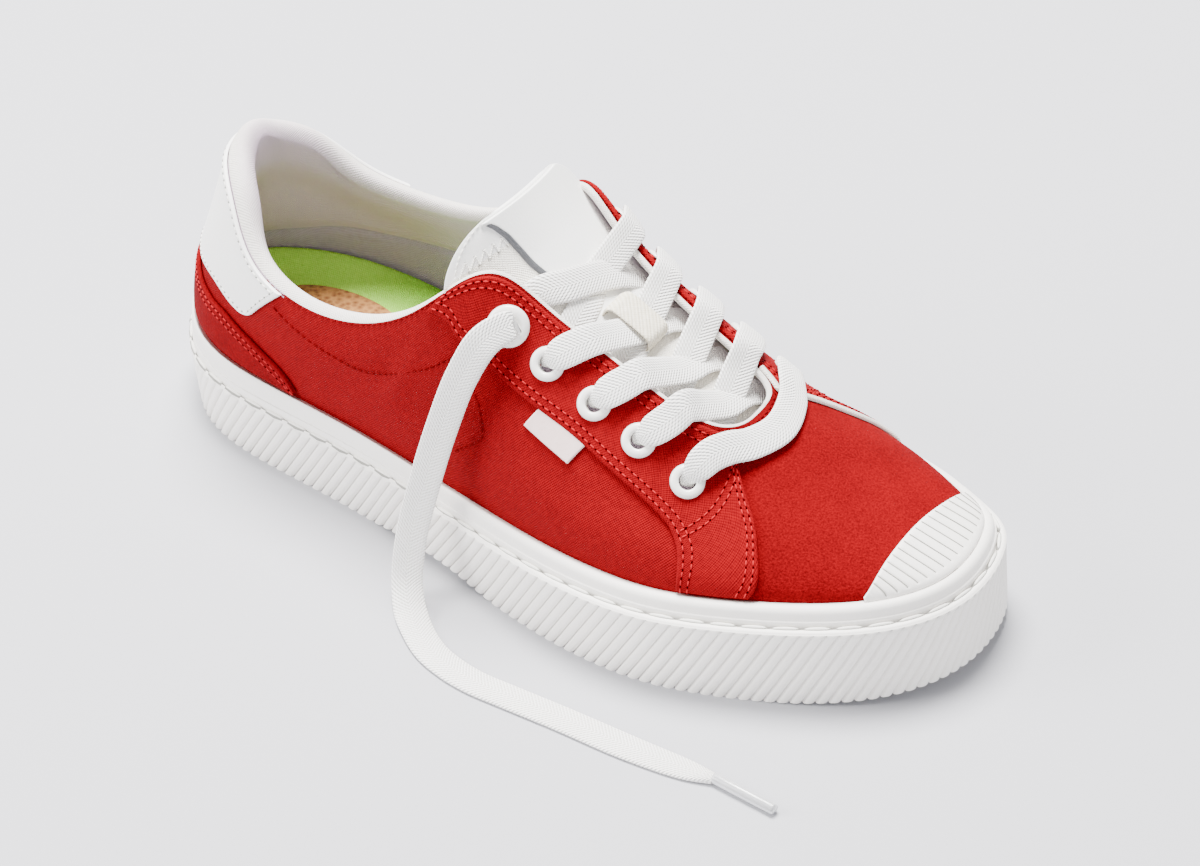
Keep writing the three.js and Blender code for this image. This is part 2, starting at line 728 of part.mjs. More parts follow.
// Holes through the wall under each eyelet
function punchEyelets(manifold) {
  let cut = manifold;
  for (const side of [-1, 1]) {
    for (const eyelet of EYELETS) cut = cut.subtract(bore(eyelet, side));
  }
  return cut;
}

function bore(eyelet, side) {
  const drill = new THREE.CylinderGeometry(EYELET_HOLE, EYELET_HOLE, 6 * UPPER_WALL, 8);
  return toManifold(onUpper(drill, eyelet, side, 0));
}

// Stations of the medial side mirror those of the lateral side
function onSide(station, side) {
  return side < 0 ? station : 2 - station;
}

// Stands a geometry's Y axis along the upper's normal at an eyelet
function onUpper(geometry, eyelet, side, outward) {
  const station = onSide(eyelet.station, side);
  const normal = new THREE.Vector3(...upperNormal(station, eyelet.up));
  const turn = new THREE.Quaternion().setFromUnitVectors(new THREE.Vector3(0, 1, 0), normal);
  geometry.applyQuaternion(turn);
  geometry.translate(...upperPoint(station, eyelet.up, outward));
  return geometry;
}

// An overlay's borders as curves along it, and a place between them
function borderCurves(table) {
  const spread = table.map((r, i) => ({ ...r, at: i / (table.length - 1) }));
  return ['stationA', 'upA', 'stationB', 'upB'].map((c) => tableCurve(spread, 'at', c));
}

function betweenBorders([stationA, upA, stationB, upB], s, t) {
  return { station: mix(stationA(s), stationB(s), t), up: mix(upA(s), upB(s), t) };
}

// An overlay on the upper; reach turns its share of length into a signed one
function overlay(table, reach) {
  const curves = borderCurves(table);
  return (s, t, height) => {
    const at = reach(s);
    const { station, up } = betweenBorders(curves, Math.abs(at), t);
    return upperPoint(at < 0 ? -station : station, up, height);
  };
}

function overlayPlate(place, lengthSteps, widthSteps) {
  return plate(place, CLEARANCE + OVERLAY_LIFT, CLEARANCE + OVERLAY_THICKNESS, lengthSteps, widthSteps);
}

function heelTab() {
  return overlayPlate(overlay(HEEL_TAB, (s) => mix(-1, 1, s)), 18, 3);
}

function heelCounter() {
  return overlayPlate(overlay(HEEL_COUNTER, (s) => mix(-1, 1, s)), 24, 2);
}

function eyestay(side) {
  const lateral = overlay(EYESTAY, (s) => s);
  const curves = borderCurves(EYESTAY);
  const medial = (s, t, height) => {
    const { station, up } = betweenBorders(curves, s, 1 - t);
    return upperPoint(onSide(station, 1), up, height);
  };
  let solid = toManifold(overlayPlate(side < 0 ? lateral : medial, 18, 3));
  for (const eyelet of EYELETS) solid = solid.subtract(bore(eyelet, side));
  return fromManifold(solid);
}

function toeCap() {
  const sweep = THREE.MathUtils.degToRad(TOE_CAP_SWEEP);
  const place = (s, t, height) => {
    const angle = mix(-sweep, sweep, s);
    const station = 1 + TOE_CAP_HALF * Math.sin(angle);
    return upperPoint(station, mix(0.03, TOE_CAP_UP * Math.cos(angle), t), height);
  };
  return overlayPlate(place, 14, 4);
}

// Eyelet: a rolled ring on the eyestay with a barrel through its hole
function eyeletRing(eyelet, index, side) {
  const radius = index === 0 ? TOP_EYELET_RADIUS : EYELET_RADIUS;
  const hole = EYELET_HOLE - CLEARANCE;
  const bore = hole - OVERLAY_THICKNESS / 2;
  const seat = 2 * CLEARANCE + OVERLAY_THICKNESS;
  const depth = -UPPER_WALL;
  const profile = [
    [bore, depth],
    [hole, depth],
    [hole, seat],
    [radius, seat],
    [radius * 0.86, seat + EYELET_HEIGHT],
    [bore + EYELET_HEIGHT * 0.6, seat + EYELET_HEIGHT],
    [bore, depth],
  ];
  const ring = new THREE.LatheGeometry(profile.map(([r, y]) => new THREE.Vector2(r, y)), 9);
  return fromManifold(toManifold(onUpper(ring, eyelet, side, 0)));
}

// Tongue surface: s from under the vamp to the top, t across, height outwards
const tongueCurve = ['along', 'height', 'half', 'bend', 'thick', 'side'].map((column) => {
  const spread = TONGUE.map((r, i) => ({ ...r, at: i / (TONGUE.length - 1) }));
  return tableCurve(spread, 'at', column);
});

function tongueSpine(s) {
  const [along, height] = tongueCurve;
  return [along(s) * SOLE_LENGTH, height(s) * EDGE_HEIGHT - UPPER_WALL];
}

function tonguePoint(s, t, depth) {
  const [x, z] = tongueSpine(s);
  const ahead = tongueSpine(Math.min(s + 0.01, 1));
  const behind = tongueSpine(Math.max(s - 0.01, 0));
  const run = Math.hypot(ahead[0] - behind[0], ahead[1] - behind[1]);
  const normal = [(ahead[1] - behind[1]) / run, -(ahead[0] - behind[0]) / run];
  const across = mix(1, -1, t);
  const half = tongueCurve[2](s) * BALL_WIDTH;
  const fall = tongueCurve[3](s) * EDGE_HEIGHT * across * across;
  const shift = -fall + depth;
  const middle = tongueCurve[5](s) * BALL_WIDTH;
  return [x + normal[0] * shift, middle + across * half, z + normal[1] * shift];
}

function tongue() {
  const edge = (t) => 1 - 0.6 * Math.abs(mix(-1, 1, t)) ** 6;
  const place = (s, t, height) => {
    const thick = tongueCurve[4](s) * TONGUE_THICKNESS * edge(t);
    return tonguePoint(s, t, height === 0 ? 0 : -thick);
  };
  return plate(place, 1, 0, 14, 6, 0);
}

// Leather patch on the middle of the tongue's top
function tonguePatch() {
  const place = (s, t, height) => tonguePoint(mix(0.68, 0.93, s), mix(0.26, 0.74, t), height);
  return plate(place, CLEARANCE, CLEARANCE + OVERLAY_THICKNESS, 6, 4);
}

// Place on the tongue's length, found from its distance along the sole
function tongueShare(x) {
  let low = 0;
  let high = 1;
  for (let i = 0; i < 30; i++) {
    const middle = (low + high) / 2;
    if (tongueSpine(middle)[0] > x) low = middle;
    else high = middle;
  }
  return (low + high) / 2;
}

// A flat cord along a smooth curve, its faces turned by the list of normals
function flatCord(points, normals, width, thickness, steps) {
  const curve = new THREE.CatmullRomCurve3(points, false, 'centripetal');
  const solid = new Solid();
  const sections = [];
  for (let i = 0; i <= steps; i++) {
    const share = i / steps;
    const place = share * (points.length - 1);
    const k = Math.min(Math.floor(place), points.length - 2);
    const middle = curve.getPoint(share);
    const tangent = curve.getTangent(share);
    const face = normals[k].clone().lerp(normals[k + 1], place - k);
    const across = new THREE.Vector3().crossVectors(face, tangent).normalize();
    const up = new THREE.Vector3().crossVectors(tangent, across).normalize();
    const corner = (a, b) => middle.clone().addScaledVector(across, a * width / 2)
      .addScaledVector(up, b * thickness / 2).toArray();
    sections.push(solid.line([corner(-1, -1), corner(1, -1), corner(1, 1), corner(-1, 1)]));
  }
  for (let i = 0; i < steps; i++) {
    for (let k = 0; k < 4; k++) {
      const j = (k + 1) % 4;
      solid.quad(sections[i][k], sections[i][j], sections[i + 1][j], sections[i + 1][k]);
    }
  }
  const last = sections[steps];
  const first = sections[0];
  solid.quad(first[3], first[2], first[1], first[0]);
  solid.quad(last[0], last[1], last[2], last[3]);
  return solid.geometry();
}

// Where a lace meets the shoe: over an eyelet and its rim, over the throat's
// edge and just before it slips under that edge
const LACE_LIFT = CLEARANCE + LACE_THICKNESS / 2;
const STAY_TOP = CLEARANCE + OVERLAY_THICKNESS;
const EYELET_TOP = EYELET_HEIGHT + 3 * CLEARANCE;

function laceOnStay(side, station, up, lift) {
  const at = onSide(station, side);
  return {
    point: new THREE.Vector3(...upperPoint(at, up, STAY_TOP + lift + LACE_LIFT)),
    normal: new THREE.Vector3(...upperNormal(at, up)),
  };
}

// From the eyelet over its rim to just past the throat's edge
function laceOffStay(side, station, edgeStation, up) {
  const edge = laceOnStay(side, edgeStation, 1, EYELET_TOP + CLEARANCE);
  const inner = laceOnStay(side, edgeStation, 0.96, EYELET_TOP + CLEARANCE);
  const past = edge.point.clone().sub(inner.point).normalize();
  const point = edge.point.clone().addScaledVector(past, LACE_THICKNESS);
  return [
    laceOnStay(side, station, up, EYELET_TOP),
    laceOnStay(side, mix(station, edgeStation, 0.5), mix(up, 1, 0.45), EYELET_TOP),
    laceOnStay(side, edgeStation, mix(up, 1, 0.8), EYELET_TOP * 0.8),
    { point, normal: edge.normal },
  ];
}

// Share and side of the tongue under a point seen from above
function tongueBelow(x, y) {
  let aim = x;
  let s = 0;
  let t = 0;
  for (let pass = 0; pass < 4; pass++) {
    s = tongueShare(aim);
    t = (1 - (y - tongueCurve[5](s) * BALL_WIDTH) / (tongueCurve[2](s) * BALL_WIDTH)) / 2;
    aim += x - tonguePoint(s, t, 0)[0];
  }
  const e = 0.01;
  const along = new THREE.Vector3(...tonguePoint(s + e, t, 0));
  along.sub(new THREE.Vector3(...tonguePoint(s - e, t, 0)));
  const across = new THREE.Vector3(...tonguePoint(s, t + e, 0));
  across.sub(new THREE.Vector3(...tonguePoint(s, t - e, 0)));
  const point = new THREE.Vector3(...tonguePoint(s, t, 0));
  return { point, normal: along.cross(across).normalize() };
}

function onTongue(x, y, lift) {
  const { point, normal } = tongueBelow(x, y);
  return { point: point.addScaledVector(normal, lift + LACE_LIFT), normal };
}

// Lifts a point that would lie lower over the tongue than the given lift
function restOnTongue(point, lift) {
  const below = tongueBelow(point.x, point.y);
  const height = point.clone().sub(below.point).dot(below.normal);
  const need = Math.max(LACE_LIFT + lift - height, 0);
  return { point: point.clone().addScaledVector(below.normal, need), normal: below.normal };
}

// Just inside the throat's edge, on its way to slip under it
function laceUnderStay(side, station) {
  const edge = upperPoint(onSide(station, side), 1);
  return onTongue(edge[0], edge[1] - side * LACE_WIDTH * 0.6, LACE_THICKNESS * 0.3);
}

function strip(stops, steps) {
  const points = stops.map((stop) => stop.point);
  const normals = stops.map((stop) => stop.normal);
  return flatCord(points, normals, LACE_WIDTH, LACE_THICKNESS, steps);
}

// The straight bar over the foot of the throat
function lowestBar() {
  const { station, up } = EYELETS[EYELETS.length - 1];
  const lateral = laceOffStay(-1, station, station, up);
  const medial = laceOffStay(1, station, station, up).reverse();
  const middle = lateral[3].point.clone().lerp(medial[0].point, 0.5);
  return strip([...lateral, restOnTongue(middle, 0), ...medial], 16);
}

// Two strips that cross on the tongue, joined where they lie on each other.
// Each runs from over its eyelet to under the other edge one eyelet lower; at
// the top the lateral one comes from under its edge instead, on its way to
// the eyelet that lets the loose end out.
function laceCrossing(index) {
  const here = EYELETS[index];
  const below = EYELETS[index + 1];
  const edgeStation = mix(here.station, below.station, 0.15);
  const hidden = mix(here.station, below.station, 0.88);
  const starts = [-1, 1].map((side) => (
    index === 0 && side < 0
      ? [laceUnderStay(side, here.station)]
      : laceOffStay(side, here.station, edgeStation, here.up)
  ));
  const ends = [1, -1].map((side) => laceUnderStay(side, hidden));
  const meet = new THREE.Vector3();
  starts.forEach((stops, i) => meet.add(stops[stops.length - 1].point).add(ends[i].point));
  meet.multiplyScalar(0.25);
  const lift = LACE_THICKNESS * 0.6;
  const strips = starts.map((stops, i) => {
    const height = CLEARANCE + (i === 0 ? lift : 0);
    const top = onTongue(meet.x, meet.y, height);
    const start = stops[stops.length - 1];
    const before = restOnTongue(start.point.clone().lerp(top.point, 0.5), height);
    const after = restOnTongue(top.point.clone().lerp(ends[i].point, 0.5), height * 0.8 + CLEARANCE);
    return toManifold(strip([...stops, before, top, after, ends[i]], 12));
  });
  return fromManifold(strips[0].add(strips[1]));
}

// Webbing loop over the strip from the second lateral eyelet
function laceKeeper() {
  const [from, to] = KEEPER_REACH;
  const foot = (CLEARANCE - LACE_THICKNESS) / 2;
  const half = [
    { share: 0, lift: foot },
    { share: -0.01, lift: KEEPER_LIFT * 0.65 },
    { share: 0.08, lift: KEEPER_LIFT },
  ];
  const other = half.map(({ share, lift }) => ({ share: 1 - share, lift })).reverse();
  const stops = [...half, { share: 0.5, lift: KEEPER_LIFT }, ...other]
    .map(({ share, lift }) => onTongue(mix(from, to, share), KEEPER_SIDE, lift));
  const points = stops.map((stop) => stop.point);
  return flatCord(points, stops.map((stop) => stop.normal), KEEPER_WIDTH, KEEPER_THICKNESS, 12);
}

// Small bare label that hangs from under the lateral eyestay
function label() {
  return plate(overlay(LABEL, (s) => s), CLEARANCE, CLEARANCE + OVERLAY_THICKNESS * 0.7, 4, 3);
}

// Loose end of the lace, hung from the top lateral eyelet to the floor
function laceEnd() {
  const points = LACE_END.map((p) => new THREE.Vector3(...p));
  const out = new THREE.Vector3(...upperNormal(EYELETS[0].station, EYELETS[0].up));
  const beside = new THREE.Vector3(...LACE_HANG);
  const flat = new THREE.Vector3(0, 0, 1);
  const normals = points.map((p) => {
    const hang = ease(0, 1, (points[0].distanceTo(p)) / LACE_WIDTH / 2);
    const lie = ease(LACE_LAY[0], LACE_LAY[1], -p.y);
    return out.clone().lerp(beside, hang).lerp(flat, lie).normalize();
  });
  return flatCord(points, normals, LACE_WIDTH, LACE_THICKNESS, 34);
}

// Clear tube on the lace's tip
function aglet() {
  const [x, y, z] = LACE_END[LACE_END.length - 1];
  const from = new THREE.Vector3(x, y, Math.max(z, AGLET_RADIUS));
  const to = new THREE.Vector3(...AGLET_TIP, AGLET_RADIUS);
  const along = to.clone().sub(from).normalize();
  from.addScaledVector(along, CLEARANCE);
  const tube = new THREE.CylinderGeometry(AGLET_RADIUS, AGLET_RADIUS, from.distanceTo(to), 8);
  tube.applyQuaternion(new THREE.Quaternion().setFromUnitVectors(new THREE.Vector3(0, 1, 0), along));
  tube.translate(...from.lerp(to, 0.5).toArray());
  return fromManifold(toManifold(tube));
}

const shoe = new THREE.Group();
shoe.add(piece('sole', cupSole(), WHITE_RUBBER, 0.7));
shoe.add(piece('insole', insole(), GREEN_CLOTH));
shoe.add(piece('upper', upper(), RED_CANVAS));
shoe.add(piece('heel_tab', heelTab(), WHITE_LEATHER, 0.55));
shoe.add(piece('heel_counter', heelCounter(), RED_SUEDE, 0.9));
shoe.add(piece('toe_cap', toeCap(), WHITE_RUBBER, 0.6));
shoe.add(piece('tongue', tongue(), CREAM_CANVAS));
shoe.add(piece('tongue_patch', tonguePatch(), WHITE_LEATHER, 0.55));
for (const side of [-1, 1]) {
  const word = side < 0 ? 'lateral' : 'medial';
  shoe.add(piece(`eyestay_${word}`, eyestay(side), RED_CANVAS));
  EYELETS.forEach((eyelet, i) => {
    shoe.add(piece(`eyelet_${word}_${i + 1}`, eyeletRing(eyelet, i, side), ENAMEL, 0.35));
  });
}
shoe.add(piece('lace_bar', lowestBar(), LACE_WHITE));
for (let i = 0; i < EYELETS.length - 1; i++) {
  shoe.add(piece(`lace_crossing_${i + 1}`, laceCrossing(i), LACE_WHITE));
}

shoe.add(piece('lace_keeper', laceKeeper(), WEBBING));
shoe.add(piece('label', label(), LABEL_PINK));

// The origin is the bottom centre of everything but the loose lace
const box = new THREE.Box3().setFromObject(shoe);
const centre = box.getCenter(new THREE.Vector3());
shoe.position.set(-centre.x, -centre.y, -box.min.z);

shoe.add(piece('lace_end', laceEnd(), LACE_WHITE));
shoe.add(piece('aglet', aglet(), CLEAR_GREY, 0.3));

export default shoe;
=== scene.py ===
import math

import bmesh
import bpy
import numpy as np
from mathutils import Matrix, Vector


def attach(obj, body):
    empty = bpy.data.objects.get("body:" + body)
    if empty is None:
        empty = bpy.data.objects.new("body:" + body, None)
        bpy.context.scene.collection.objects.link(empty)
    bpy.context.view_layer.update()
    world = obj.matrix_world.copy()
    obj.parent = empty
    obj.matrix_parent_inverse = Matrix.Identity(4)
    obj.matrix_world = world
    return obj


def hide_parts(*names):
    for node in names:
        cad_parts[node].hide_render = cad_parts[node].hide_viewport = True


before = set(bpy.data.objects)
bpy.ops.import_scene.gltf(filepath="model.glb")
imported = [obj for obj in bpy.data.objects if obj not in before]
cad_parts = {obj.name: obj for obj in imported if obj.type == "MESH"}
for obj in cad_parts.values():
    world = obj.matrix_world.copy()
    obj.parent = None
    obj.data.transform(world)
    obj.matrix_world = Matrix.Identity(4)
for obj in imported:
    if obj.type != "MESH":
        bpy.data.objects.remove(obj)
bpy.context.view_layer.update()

# Lengths below are millimetres from the back of the heel; MM and SHIFT take
# them to the frame.
MM = 0.001
SHIFT = np.array([-145.019, 6.778, 0.0])

# Driving sizes, as in the CAD source
SOLE_LENGTH = 292
BALL_WIDTH = 110
SIDEWALL_HEIGHT = 34.6
EDGE_HEIGHT = 103
UPPER_WALL = 2.2
COLLAR_PAD = 8.5
OVERLAY_THICKNESS = 1.2
CLEARANCE = 0.3
SEAT_GAP = 1.0
RIB_PITCH = 3.9
RIB_DEPTH = 0.9
RIB_SLANT = 15
TOE_SPRING = 4.5
ARCH_RISE = 2
TREAD_GROOVE_WIDTH = 4
TREAD_GROOVE_DEPTH = 1.6
INSOLE_HEEL = 10.5
INSOLE_FOREFOOT = 5
INSOLE_CUP = 4
TONGUE_THICKNESS = 4.5
LACE_WIDTH = 9.5
LACE_THICKNESS = 1.5
EYELET_RADIUS = 5.4
TOP_EYELET_RADIUS = 6.6
EYELET_HOLE = 3
EYELET_HEIGHT = 1.3
KEEPER_REACH = (161.6, 176.9)
KEEPER_SIDE = -2.5
KEEPER_LIFT = 5.3
KEEPER_WIDTH = 10
KEEPER_THICKNESS = 1.2
AGLET_RADIUS = 1.75

# Tread outline: along in sole lengths, lateral and medial in ball widths
OUTLINE = [
    (0.0, 0.0, 0.0),
    (0.02, 0.13, 0.15),
    (0.06, 0.24, 0.244),
    (0.12, 0.311, 0.307),
    (0.2, 0.346, 0.333),
    (0.3, 0.377, 0.323),
    (0.4, 0.428, 0.309),
    (0.5, 0.494, 0.324),
    (0.6, 0.55, 0.37),
    (0.7, 0.561, 0.424),
    (0.78, 0.514, 0.444),
    (0.86, 0.428, 0.424),
    (0.93, 0.317, 0.355),
    (0.98, 0.169, 0.251),
    (1.0, -0.03, 0.03),
]

# Cup wall: along, rib top, rib out, lip top, lip out, floor, in wall heights
SIDEWALL = np.array([
    (0.0, 0.63, 0.058, 0.971, -0.017, 0.69),
    (0.33, 0.665, 0.046, 0.948, -0.026, 0.58),
    (0.66, 0.711, 0.012, 0.905, -0.185, 0.45),
    (1.0, 0.82, -0.04, 1.0, -0.243, 0.52),
])

# Section above the ribs: shares of the way in and of the way up to the lip
BAND_SECTION = [
    (0.0, 0.0),
    (0.03, 0.06),
    (0.1, 0.11),
    (0.2, 0.125),
    (0.27, 0.1),
    (0.3, 0.0),
    (0.34, -0.04),
    (0.385, -0.02),
    (0.4, 0.05),
    (0.41, 0.2),
    (0.425, 0.36),
    (0.445, 0.41),
    (0.48, 0.4),
    (0.5, 0.44),
    (0.52, 0.56),
    (0.56, 0.76),
    (0.64, 0.91),
    (0.76, 0.985),
    (0.88, 1.0),
    (0.97, 0.99),
    (1.0, 0.95),
]

# Upper rows: feather, along, lateral, medial, height, rise, lean, swell,
# drop, pad; units as in the CAD source
UPPER_ROWS = [
    (0.0, 0.0685, 0.0, 0.0, 0.942, 0.223, 0.005, -0.009, 0.15, 1.0),
    (0.075, 0.0822, 0.109, 0.109, 0.922, 0.223, -0.009, 0.032, 0.141, 1.0),
    (0.13, 0.118, 0.209, 0.2, 0.854, 0.194, 0.005, 0.018, 0.136, 0.95),
    (0.185, 0.161, 0.282, 0.264, 0.733, 0.136, 0.018, 0.032, 0.117, 0.8),
    (0.25, 0.233, 0.327, 0.309, 0.678, 0.117, 0.023, 0.036, 0.117, 0.68),
    (0.31, 0.312, 0.341, 0.314, 0.709, 0.126, 0.018, 0.036, 0.126, 0.64),
    (0.37, 0.384, 0.336, 0.305, 0.825, 0.155, 0.014, 0.041, 0.136, 0.5),
    (0.42, 0.438, 0.286, 0.268, 0.968, 0.214, 0.009, 0.073, 0.155, 0.3),
    (0.464, 0.479, 0.232, 0.222, 0.99, 0.233, 0.009, 0.109, 0.146, 0.26),
    (0.51, 0.529, 0.205, 0.186, 0.895, 0.204, 0.009, 0.127, 0.131, 0.26),
    (0.57, 0.603, 0.2, 0.141, 0.802, 0.18, 0.009, 0.136, 0.131, 0.26),
    (0.64, 0.675, 0.195, 0.118, 0.718, 0.131, 0.009, 0.141, 0.155, 0.26),
    (0.73, 0.716, 0.155, 0.1, 0.665, 0.078, 0.009, 0.168, 0.184, 0.26),
    (0.85, 0.733, 0.095, 0.05, 0.649, 0.044, 0.005, 0.245, 0.175, 0.26),
    (1.0, 0.736, 0.03, -0.03, 0.646, 0.019, 0.0, 0.282, 0.18, 0.26),
]

# Overlays: station and up of one border, station and up of the other
HEEL_TAB = [
    (0.0, 0.315, 0.0, 0.985),
    (0.06, 0.34, 0.07, 0.985),
    (0.116, 0.385, 0.13, 0.985),
    (0.169, 0.425, 0.195, 0.985),
    (0.212, 0.5, 0.262, 0.985),
]
HEEL_COUNTER = [
    (0.0, 0.03, 0.0, 0.27),
    (0.06, 0.03, 0.06, 0.265),
    (0.12, 0.03, 0.122, 0.275),
    (0.165, 0.03, 0.17, 0.32),
    (0.203, 0.03, 0.213, 0.34),
    (0.235, 0.03, 0.248, 0.29),
    (0.256, 0.03, 0.267, 0.19),
    (0.27, 0.03, 0.275, 0.075),
]
EYESTAY = [
    (0.452, 0.94, 0.47, 0.985),
    (0.49, 0.8, 0.5, 0.985),
    (0.533, 0.655, 0.535, 0.985),
    (0.623, 0.6, 0.61, 0.985),
    (0.69, 0.6, 0.68, 0.985),
    (0.75, 0.57, 0.75, 0.985),
    (0.795, 0.535, 0.83, 0.985),
    (0.82, 0.47, 0.905, 0.96),
    (0.831, 0.34, 0.911, 0.7),
    (0.833, 0.18, 0.897, 0.42),
    (0.833, 0.03, 0.88, 0.03),
]
LABEL = [(0.652, 0.5, 0.666, 0.615), (0.709, 0.47, 0.721, 0.6)]
TOE_CAP_HALF = 0.061
TOE_CAP_UP = 0.41
TOE_CAP_SWEEP = 78
TOE_CAP_GROOVES = 20
# Shaded grooves to each side of the middle one
TOE_LINES = 8
TOE_GROOVE_DEPTH = 0.4
TOE_CAP_TAPER = 1.3

EYELETS = [(0.6, 0.81), (0.66, 0.795), (0.715, 0.78), (0.765, 0.77), (0.827, 0.73)]

# Tongue: along, height, half, bend, side, thick
TONGUE = [
    (0.764, 0.526, 0.15, 0.05, -0.027, 0.45),
    (0.736, 0.58, 0.18, 0.07, -0.027, 0.55),
    (0.7, 0.638, 0.21, 0.09, -0.027, 0.7),
    (0.65, 0.706, 0.235, 0.11, -0.027, 0.9),
    (0.603, 0.769, 0.25, 0.115, -0.024, 1.0),
    (0.548, 0.851, 0.25, 0.12, -0.018, 1.0),
    (0.507, 0.953, 0.242, 0.115, -0.01, 1.0),
    (0.479, 1.026, 0.238, 0.11, -0.005, 1.0),
    (0.457, 1.099, 0.235, 0.1, -0.005, 1.0),
    (0.442, 1.157, 0.22, 0.085, -0.005, 0.9),
    (0.436, 1.182, 0.175, 0.055, -0.005, 0.7),
]

# Loose end of the lace, as in the CAD source
LACE_END = [
    (146.4, -33.6, 92),
    (142, -41, 89),
    (137.5, -47, 78),
    (133, -52.5, 60),
    (129.5, -57.5, 41.5),
    (126.5, -62, 22),
    (127, -66.5, 7),
    (131, -71.5, 2.6),
    (137, -77, 1.1),
    (148, -84.4, 0.8),
    (158, -87.8, 0.8),
    (168, -89.3, 0.8),
    (180, -89.2, 0.8),
    (200, -88.8, 0.8),
    (224, -88.8, 0.8),
    (244, -87.8, 0.8),
    (252.5, -87.2, 0.8),
]
AGLET_TIP = (274.9, -89.3)
# Way that the hanging cord faces, and from where to where it turns to lie flat
LACE_HANG = (0.25, -0.93, 0.28)
LACE_LAY = (64, 78)

# Stitched line under the collar, station and up
COLLAR_SEAM = [
    (0.255, 0.81),
    (0.29, 0.745),
    (0.329, 0.67),
    (0.375, 0.59),
    (0.426, 0.585),
    (0.474, 0.575),
    (0.519, 0.605),
]

# Stitched box behind the lace, station and up, and the edge's sewn stretch
BOX_SEAM = [
    (0.535, 0.57),
    (0.572, 0.455),
    (0.58, 0.42),
    (0.588, 0.33),
    (0.584, 0.3),
    (0.536, 0.2),
]
EDGE_STITCHED = (0.24, 1.76)
# Pitch of the long stitches in the sole's groove
SOLE_STITCH = 9.4

# Soft troughs in the canvas: station, up, run along, run up in
# the same units, slant and depth in millimetres
CREASES = [
    (0.345, 0.42, 0.035, 0.16, 0.1, 0.9),
    (0.395, 0.5, 0.02, 0.2, 0.06, 0.8),
    (0.47, 0.36, 0.05, 0.1, -0.1, 0.8),
    (0.58, 0.3, 0.07, 0.09, 0.04, 0.9),
    (0.72, 0.34, 0.05, 0.1, 0.05, 0.7),
    (1.62, 0.4, 0.03, 0.16, 0.08, 0.9),
    (1.35, 0.3, 0.06, 0.1, 0.05, 0.8),
]


UP = np.array([0.0, 0.0, 1.0])


# Small mathematics
def mix(a, b, t):
    return a + (b - a) * t


def ease(low, high, value):
    t = np.clip((np.asarray(value, float) - low) / (high - low), 0, 1)
    return t * t * (3 - 2 * t)


def unit(v):
    return v / np.maximum(np.linalg.norm(v, axis=-1, keepdims=True), 1e-9)


def path_lengths(line):
    """Length from a line's start to each of its points."""
    return np.concatenate([[0], np.cumsum(np.linalg.norm(np.diff(line, axis=0), axis=1))])


def closed_spline(rows):
    rows = np.array(rows, float)
    count = len(rows)
    bends = np.zeros_like(rows)
    pull = 6 * (np.roll(rows, -1, 0) - 2 * rows + np.roll(rows, 1, 0))
    for _ in range(60):
        bends = (pull - np.roll(bends, 1, 0) - np.roll(bends, -1, 0)) / 4

    def at(t):
        place = np.mod(t, count)
        i = np.floor(place).astype(int) % count
        j = (i + 1) % count
        f = (place - np.floor(place))[..., None]
        g = 1 - f
        bend = (g**3 - g) * bends[i] + (f**3 - f) * bends[j]
        return g * rows[i] + f * rows[j] + bend / 6

    return at


def table_curve(x, y):
    x = np.array(x, float)
    y = np.array(y, float)
    slopes = np.diff(y) / np.diff(x)
    before = np.concatenate([slopes[:1], slopes])
    after = np.concatenate([slopes, slopes[-1:]])
    product = before * after
    total = np.where(np.abs(before + after) < 1e-12, 1, before + after)
    lean = np.where(product <= 0, 0, 2 * product / total)

    def at(value):
        v = np.clip(value, x[0], x[-1])
        i = np.clip(np.searchsorted(x, v, side="left") - 1, 0, len(x) - 2)
        h = x[i + 1] - x[i]
        t = (v - x[i]) / h
        tangents = lean[i] * t * (1 - t) ** 2 - lean[i + 1] * t * t * (1 - t)
        return mix(y[i], y[i + 1], (3 - 2 * t) * t * t) + h * tangents

    return at


def even_curves(table):
    """A curve for each column of rows at even shares from 0 to 1."""
    at = np.linspace(0, 1, len(table))
    return [table_curve(at, column) for column in zip(*table)]


class Outline:
    """Tread outline by turn: 0 heel, 1 toe by the lateral side, 2 heel again."""

    def __init__(self):
        samples = 1600
        lateral = [(a * SOLE_LENGTH, -l * BALL_WIDTH) for a, l, _ in OUTLINE]
        medial = [(a * SOLE_LENGTH, m * BALL_WIDTH) for a, _, m in OUTLINE]
        loop = lateral[:-1] + [medial[-1]] + medial[1:-1][::-1]
        self.curve = closed_spline(loop)
        self.places = np.linspace(0, len(loop), samples + 1)
        lengths = path_lengths(self.curve(self.places))
        toe = round((len(lateral) - 1) * samples / len(loop))
        self.lateral_length = lengths[toe]
        medial_length = lengths[-1] - self.lateral_length
        self.length = lengths[-1]
        self.turns = np.where(
            lengths <= self.lateral_length,
            lengths / self.lateral_length,
            1 + (lengths - self.lateral_length) / medial_length,
        )

    def at(self, turn):
        t = np.interp(np.mod(turn, 2), self.turns, self.places)
        p = self.curve(t)
        way = unit(self.curve(t + 0.001) - self.curve(t - 0.001))
        return p, np.stack([way[..., 1], -way[..., 0]], -1)

    def beside(self, turn, outward, height):
        p, out = self.at(turn)
        xy = p + out * np.asarray(outward)[..., None]
        return np.concatenate([xy, np.broadcast_to(height, xy.shape[:-1])[..., None]], -1)

    def along(self, turn):
        return self.at(turn)[0][..., 0] / SOLE_LENGTH


outline = Outline()
rib_top, rib_out, lip_top, lip_out, cup_floor = (
    table_curve(SIDEWALL[:, 0], SIDEWALL[:, k]) for k in range(1, 6)
)


def ground_height(along):
    spring = TOE_SPRING * np.clip((along - 0.8) / 0.2, 0, 1) ** 2
    arch = ARCH_RISE * ease(0.32, 0.4, along) * (1 - ease(0.44, 0.53, along))
    return spring + arch


